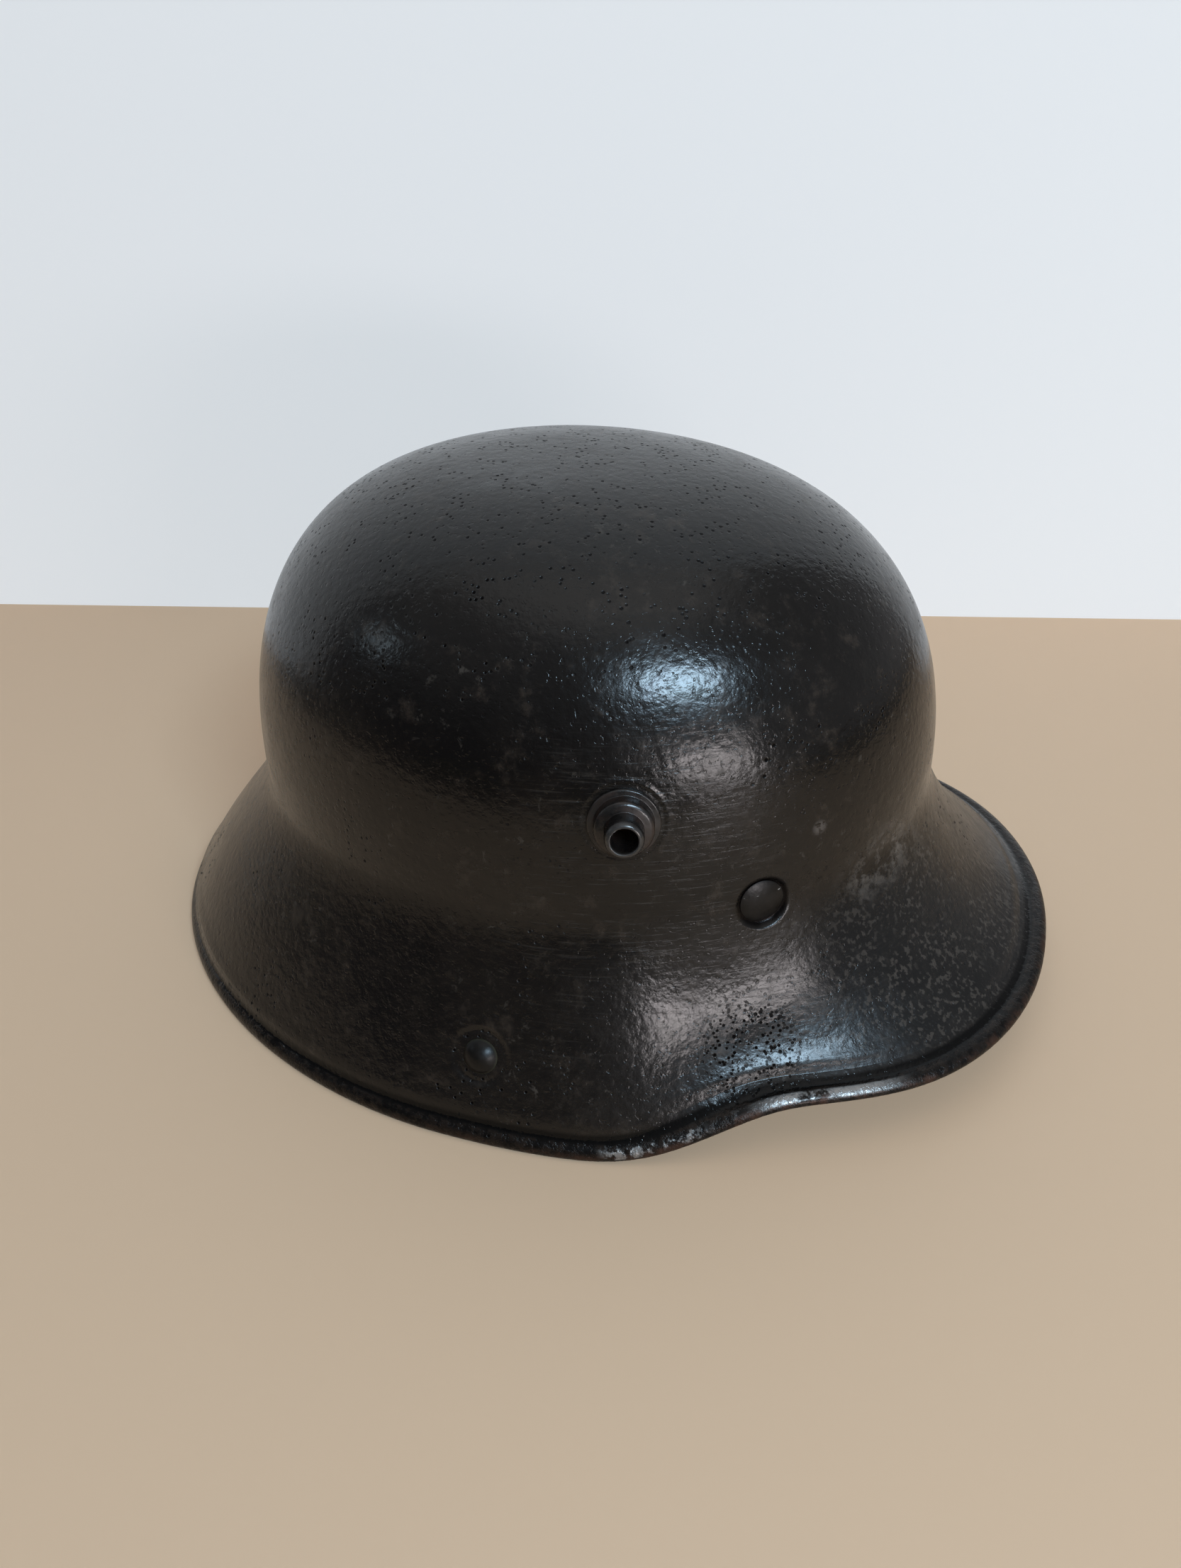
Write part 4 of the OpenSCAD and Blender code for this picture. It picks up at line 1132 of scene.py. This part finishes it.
    # A metal with next to no colour reflects nothing, which is how a pit or greasy groove looks; in
    # the ring round each pin head it is painted shade
    grime_and_shade = pits | ring * 0.85 | (lip | groove) * 0.55
    rough = clouds.ramp(0.3, 0.75, 0.17, 0.27) + mottle.ramp(0.42, 0.7) * 0.08
    for mask, more in ((specks, 0.2), (inside, 0.22), (groove, -0.12), (rust, 0.2),
                       (lip, 0.06), (visor, 0.08), (pits, 0.5)):
        rough = rough + mask * more
    height = where.noise(420, 3) + where.noise(700, 2).ramp(0.60, 0.74, 1, 0) * 0.35
    height = height - pits * 1.5 - scratch * 0.25 + grain * 0.5
    return {
        "Base Color": colour, "Metallic": worn * 0.85 | grime_and_shade, "Roughness": rough,
        "Specular IOR Level": 0.34, "Coat Weight": 0.05, "Coat Roughness": 0.12,
        "Normal": height.bump(0.00030, 0.6),
    }


dress([shell], new_material("oiled_steel", shell_steel))

# %% Steel of the vent lugs
def lathe_frame(where):
    """A turned piece's own coordinates, its first and third axis and its radius."""
    lathe = where.node("Attribute", "Vector", attribute_name="lathe")
    x, y, z = lathe.split()
    return lathe, x, z, (x * x + y * y).maths("POWER", 0.5)


def lug_steel(where, top, bore):
    """Bare metal round the highest edge, rubbed red-brown sides; top and bore in metres."""
    lathe, _, z, r = lathe_frame(where)
    clouds = where.noise(150, 4, 0.6)
    red = z.between(0.0014, top - 0.003, 0.0006) * where.noise(230, 3, 0.6).ramp(0.40, 0.62)
    rim = z.ramp(top - 0.0009, top - 0.0003) * r.between(bore - 0.0006, bore + 0.0007, 0.0003)
    rim = rim * where.noise(500, 2).ramp(0.32, 0.5, 0.35, 1)
    hole = z.ramp(top - 0.004, top - 0.0015, 1, 0) * r.ramp(bore - 0.0001, bore + 0.00015, 1, 0)
    colour = layered(
        (0.0034, 0.0028, 0.0025),
        (clouds.ramp(0.38, 0.64), (0.0130, 0.0098, 0.0080)),
        (red * 0.7, (0.018, 0.0095, 0.0068)),
        (rim, (0.060, 0.056, 0.052)),
        (hole, (0.006, 0.005, 0.005)),
    )
    turning = lathe.stretch((0.3, 0.3, 30)).noise(180, 2)
    return {
        "Base Color": colour, "Metallic": rim * 0.7,
        "Roughness": clouds.ramp(0.3, 0.7, 0.22, 0.38),
        "Specular IOR Level": 0.45, "Coat Weight": 0.12, "Coat Roughness": 0.14,
        "Normal": (where.noise(600, 3) + turning * 0.5).bump(0.00016, 0.5),
    }


dress(VENTS, new_material("worn_lug_steel", lug_steel, 0.0118, 0.0041))

# %% Rivet and pin heads
def head_steel(where, edge, grime_and_shade, scratched):
    """A domed head whose rim outside the radius edge takes a colour: grime on the rivets, painted
    shade on the pins; perhaps with a bright scratch.
    """
    lathe, x, _, r = lathe_frame(where)
    clouds = where.noise(130, 3, 0.6)
    made = {
        "Base Color": layered(
            (0.0030, 0.0024, 0.0020),
            (clouds.ramp(0.4, 0.65), (0.0080, 0.0062, 0.0050)),
            (r.ramp(edge, edge + 0.0006) * 0.7, grime_and_shade)),
        "Roughness": clouds.ramp(0.3, 0.7, 0.30, 0.46), "Specular IOR Level": 0.24,
        "Normal": where.noise(650, 3).bump(0.00014, 0.5),
    }
    if scratched:
        line = lathe.stretch((1, 0.16, 1), (0, 0, 0.5)).noise(1500, 1).ramp(0.68, 0.74)
        bright = line * x.ramp(-0.0018, -0.0034)
        made["Base Color"] = layered(made["Base Color"], (bright, (0.55, 0.53, 0.50)))
        made["Metallic"] = bright * 0.8
    return made


GREEN_GRIME = (0.030, 0.029, 0.018)
# Painted shade on the pin heads' rims, where they meet the shell
PIN_EDGE_SHADE = (0.0025, 0.002, 0.002)
dress(RIVETS, new_material("rivet_head_steel", head_steel, 0.0046, GREEN_GRIME, False))
dress(PINS, new_material("pin_head_steel", head_steel, 0.0058, PIN_EDGE_SHADE, True))

# %% Inner fittings
def dull_steel(where):
    clouds = where.noise(180, 4, 0.6)
    spots = where.noise(420, 3, 0.6).ramp(0.56, 0.68)
    colour = layered(
        (0.19, 0.185, 0.18),
        (clouds.ramp(0.38, 0.6), (0.11, 0.090, 0.076)),
        (spots * 0.8, (0.11, 0.052, 0.03)),
    )
    return {
        "Base Color": colour, "Metallic": 0.6,
        "Roughness": clouds.ramp(0.3, 0.7, 0.30, 0.46) + spots * 0.25,
        "Normal": where.noise(900, 3).bump(0.00012, 0.5),
    }


dress(FITTINGS, new_material("dull_fitting_steel", dull_steel))

# %% [markdown]
# Leather is a warm brown with a fine cellular grain, darker where hands and sweat have polished
# it. A picture of hide would show seams and stretching. Noise and cells on the flat cut's own
# UV map keep the grain even over bends, and the sewn lines lie where the saddler put them.

# %% Leather
THREAD = (0.42, 0.34, 0.22)


def sewn(along, across, lines, pitch):
    """Thread of running stitches: along each line of the flat cut, in metres."""
    dash = along.maths("PINGPONG", pitch / 2).ramp(pitch * 0.12, pitch * 0.17)
    first, second = (
        (across - at).maths("ABSOLUTE").ramp(0.00028, 0.00048, 1, 0) * dash for at in lines)
    return first | second


def shaded(colour, share):
    return tuple(min(1.0, c * share) for c in colour)


def hide(where, dark, light, gloss, lines=(), pitch=0.0034, crease=None):
    cut = where.node("TexCoord", "UV")
    u, v, _ = cut.split()
    rub = where.noise(160, 4, 0.65)
    creases = cut.stretch((1, 2.4, 1)).noise(420, 4, 0.6, 0.6)
    height = cut.cells(1500) * 0.55 + creases * 0.8
    colour = layered(
        dark,
        (where.noise(38, 4, 0.6).ramp(0.32, 0.70), light),
        (rub.ramp(0.56, 0.72, 0, 0.45), shaded(light, 1.7)),
        (where.noise(75, 3, 0.6, 0.5).ramp(0.60, 0.72, 0, 0.7), shaded(dark, 0.35)),
        (creases.ramp(0.58, 0.70, 0, 0.35), shaded(dark, 0.5)),
    )
    if crease:
        off = (v.maths("ABSOLUTE") - crease).maths("ABSOLUTE")
        line = off.ramp(0.0001, 0.0004, 1, 0)
        height = height - line * 1.2
        colour = layered(colour, (line * 0.6, shaded(dark, 0.5)))
    if lines:
        thread = sewn(u, v, lines, pitch)
        colour = layered(colour, (thread, THREAD))
        height = height + thread * 2.0
    return {
        "Base Color": colour, "Roughness": rub.ramp(0.3, 0.7, gloss - 0.08, gloss + 0.10),
        "Specular IOR Level": 0.45, "Normal": height.bump(0.00022, 0.7),
    }


dress([band], new_material(
    "band_hide", hide, (0.075, 0.036, 0.018), (0.155, 0.080, 0.040), 0.50,
    (0.0142, -0.0142), 0.0034, 0.0155))
dress(PADS, new_material(
    "pad_hide", hide, (0.095, 0.046, 0.023), (0.200, 0.108, 0.056), 0.46,
    (LAP_AT * MM, (LAP_AT + 1.6) * MM), 0.0024))
dress([strap], new_material(
    "strap_hide", hide, (0.040, 0.021, 0.012), (0.095, 0.050, 0.027), 0.42, (), 0.0034, 0.0056))

# %% Linen of the cushions and flax of the lace
def linen(where, pitch):
    weave = where.node("Attribute", "Vector", attribute_name="weave")
    x, y, _ = weave.split()
    warp, weft = (axis.maths("PINGPONG", pitch / 2).ramp(0, pitch / 2) for axis in (x, y))
    slub = weave.stretch((900, 60, 1)).noise(1.0, 2)
    colour = layered(
        (0.36, 0.31, 0.23),
        (where.noise(45, 4, 0.6).ramp(0.35, 0.68), (0.50, 0.45, 0.36)),
        (where.noise(24, 3, 0.6).ramp(0.55, 0.72, 0, 0.5), (0.20, 0.13, 0.075)),
        (slub.ramp(0.56, 0.7, 0, 0.5), (0.60, 0.55, 0.45)),
    )
    return {
        "Base Color": colour, "Roughness": 0.9, "Sheen Weight": 0.25, "Sheen Roughness": 0.4,
        "Normal": (warp * weft + where.noise(300, 3) * 0.8).bump(0.00025, 0.8),
    }


def flax(where):
    fibre = where.node("TexCoord", "UV").stretch((1, 1, 1), (0, 0, 0.6)).noise(2600, 3, 0.6)
    colour = layered(
        (0.30, 0.24, 0.16),
        (where.noise(60, 3, 0.6).ramp(0.35, 0.7), (0.48, 0.41, 0.30)),
        (fibre.ramp(0.5, 0.68, 0, 0.5), (0.17, 0.12, 0.07)),
    )
    return {"Base Color": colour, "Roughness": 0.85, "Normal": fibre.bump(0.0002, 0.8)}


dress(CUSHIONS, new_material("cushion_linen", linen, 0.0007))
dress([lace], new_material("lace_flax", flax))

# %% [markdown]
# The stage is a plain pale table before a white panel, under a broad window light. A panel all
# round would make every view pale, but the visor's top mirrors what stands to its right, and
# that is dim. So the panel ends just past the picture's edge, and the table is small. The
# panel looks evenly pale to the camera and in the steel, and throws no light of its own.

# %% Stage planes
def stage_plane(name, corners, colour, roughness, even=None):
    """A plane that is clear from behind; even is a colour that it seems to glow with."""
    mesh = bpy.data.meshes.new(name)
    mesh.from_pydata(corners, [], [(0, 1, 2, 3)])
    ob = added(name, mesh)
    material = new_material(name, lambda where: {"Base Color": colour, "Roughness": roughness})
    nodes = material.node_tree.nodes
    front = Wire(nodes["Principled BSDF"].outputs[0])
    if even:
        camera_ray, glossy_ray, clear_ray = (
            front.node("LightPath", "Is " + kind + " Ray")
            for kind in ("Camera", "Glossy", "Transmission"))
        seen = (camera_ray | glossy_ray | clear_ray) * EVEN_SHARE
        pale = front.node("Emission", 0, {"Color": even, "Strength": 1.0})
        front = front.node("MixShader", 0, {0: seen, 1: front, 2: pale})
    behind = front.node("NewGeometry", "Backfacing")
    clear = front.node("BsdfTransparent")
    both = front.node("MixShader", 0, {0: behind, 1: front, 2: clear})
    feed(nodes["Material Output"].inputs["Surface"], both)
    dress([ob], material)


EVEN_SHARE = 0.6
TABLE = [(-0.52, -0.46, 0), (0.72, -0.46, 0), (0.72, 0.9, 0), (-0.52, 0.9, 0)]
PANEL = [(-2.5, -0.404, 0), (0.30, 0.3268, 0), (0.30, 0.3268, 3.0), (-2.5, -0.404, 3.0)]
stage_plane("floor", TABLE, (0.650, 0.446, 0.290), 0.62)
stage_plane("backdrop", PANEL, (0.94, 0.910, 0.880), 0.9, (0.765, 0.800, 0.835))
print("table and panel")

# %% Lights
def soft_light(name, azimuth, elevation, distance, size, power, colour, shape="RECTANGLE"):
    """An area light that shines at the helmet's middle, sizes in metres, power in watts."""
    away = direction(azimuth, elevation)
    data = bpy.data.lights.new(name, "AREA")
    data.shape = shape
    data.size, data.size_y = size
    data.energy = power
    data.color = colour
    ob = added(name, data)
    ob.location = away * distance + Vector((0, 0, 0.08))
    ob.rotation_mode = "QUATERNION"
    ob.rotation_quaternion = away.to_track_quat("Z", "Y")


soft_light("window", 42, 39, 1.8, (0.62, 0.26), 24, (0.57, 0.80, 1.0))
soft_light("second window", -62, 26, 1.6, (0.13, 0.15), 0.42, (0.70, 0.88, 1.0))
soft_light("table glow", 45, 5, 1.1, (0.40, 0.15), 3.1, (1.0, 0.93, 0.94))
# Lies on the table under the helmet and lights the liner for views from below
soft_light("inner fill", 0, -90, 0.078, (0.27, 0.205), 0.34, (1.0, 1.0, 1.0), "ELLIPSE")
print("four lights")

# %% The dim room all round
world = bpy.data.worlds.new("room")
bpy.context.scene.world = world
world.use_nodes = True
way = Wire(world.node_tree.nodes.new("ShaderNodeTexCoord").outputs["Generated"])
x, _, z = way.split()
room = layered(
    (0.09, 0.09, 0.10),
    (x.ramp(-0.2, 0.9), (0.36, 0.36, 0.37)),
    (z.ramp(0.0, 0.9), (0.32, 0.32, 0.33)),
    (z.ramp(0.80, 0.98), (0.90, 0.90, 0.90)),
    (z.ramp(-0.02, -0.10), (0.09, 0.085, 0.08)),
)
back = world.node_tree.nodes["Background"]
feed(back.inputs["Color"], room)
back.inputs["Strength"].default_value = 1.0
print("room", world.name)
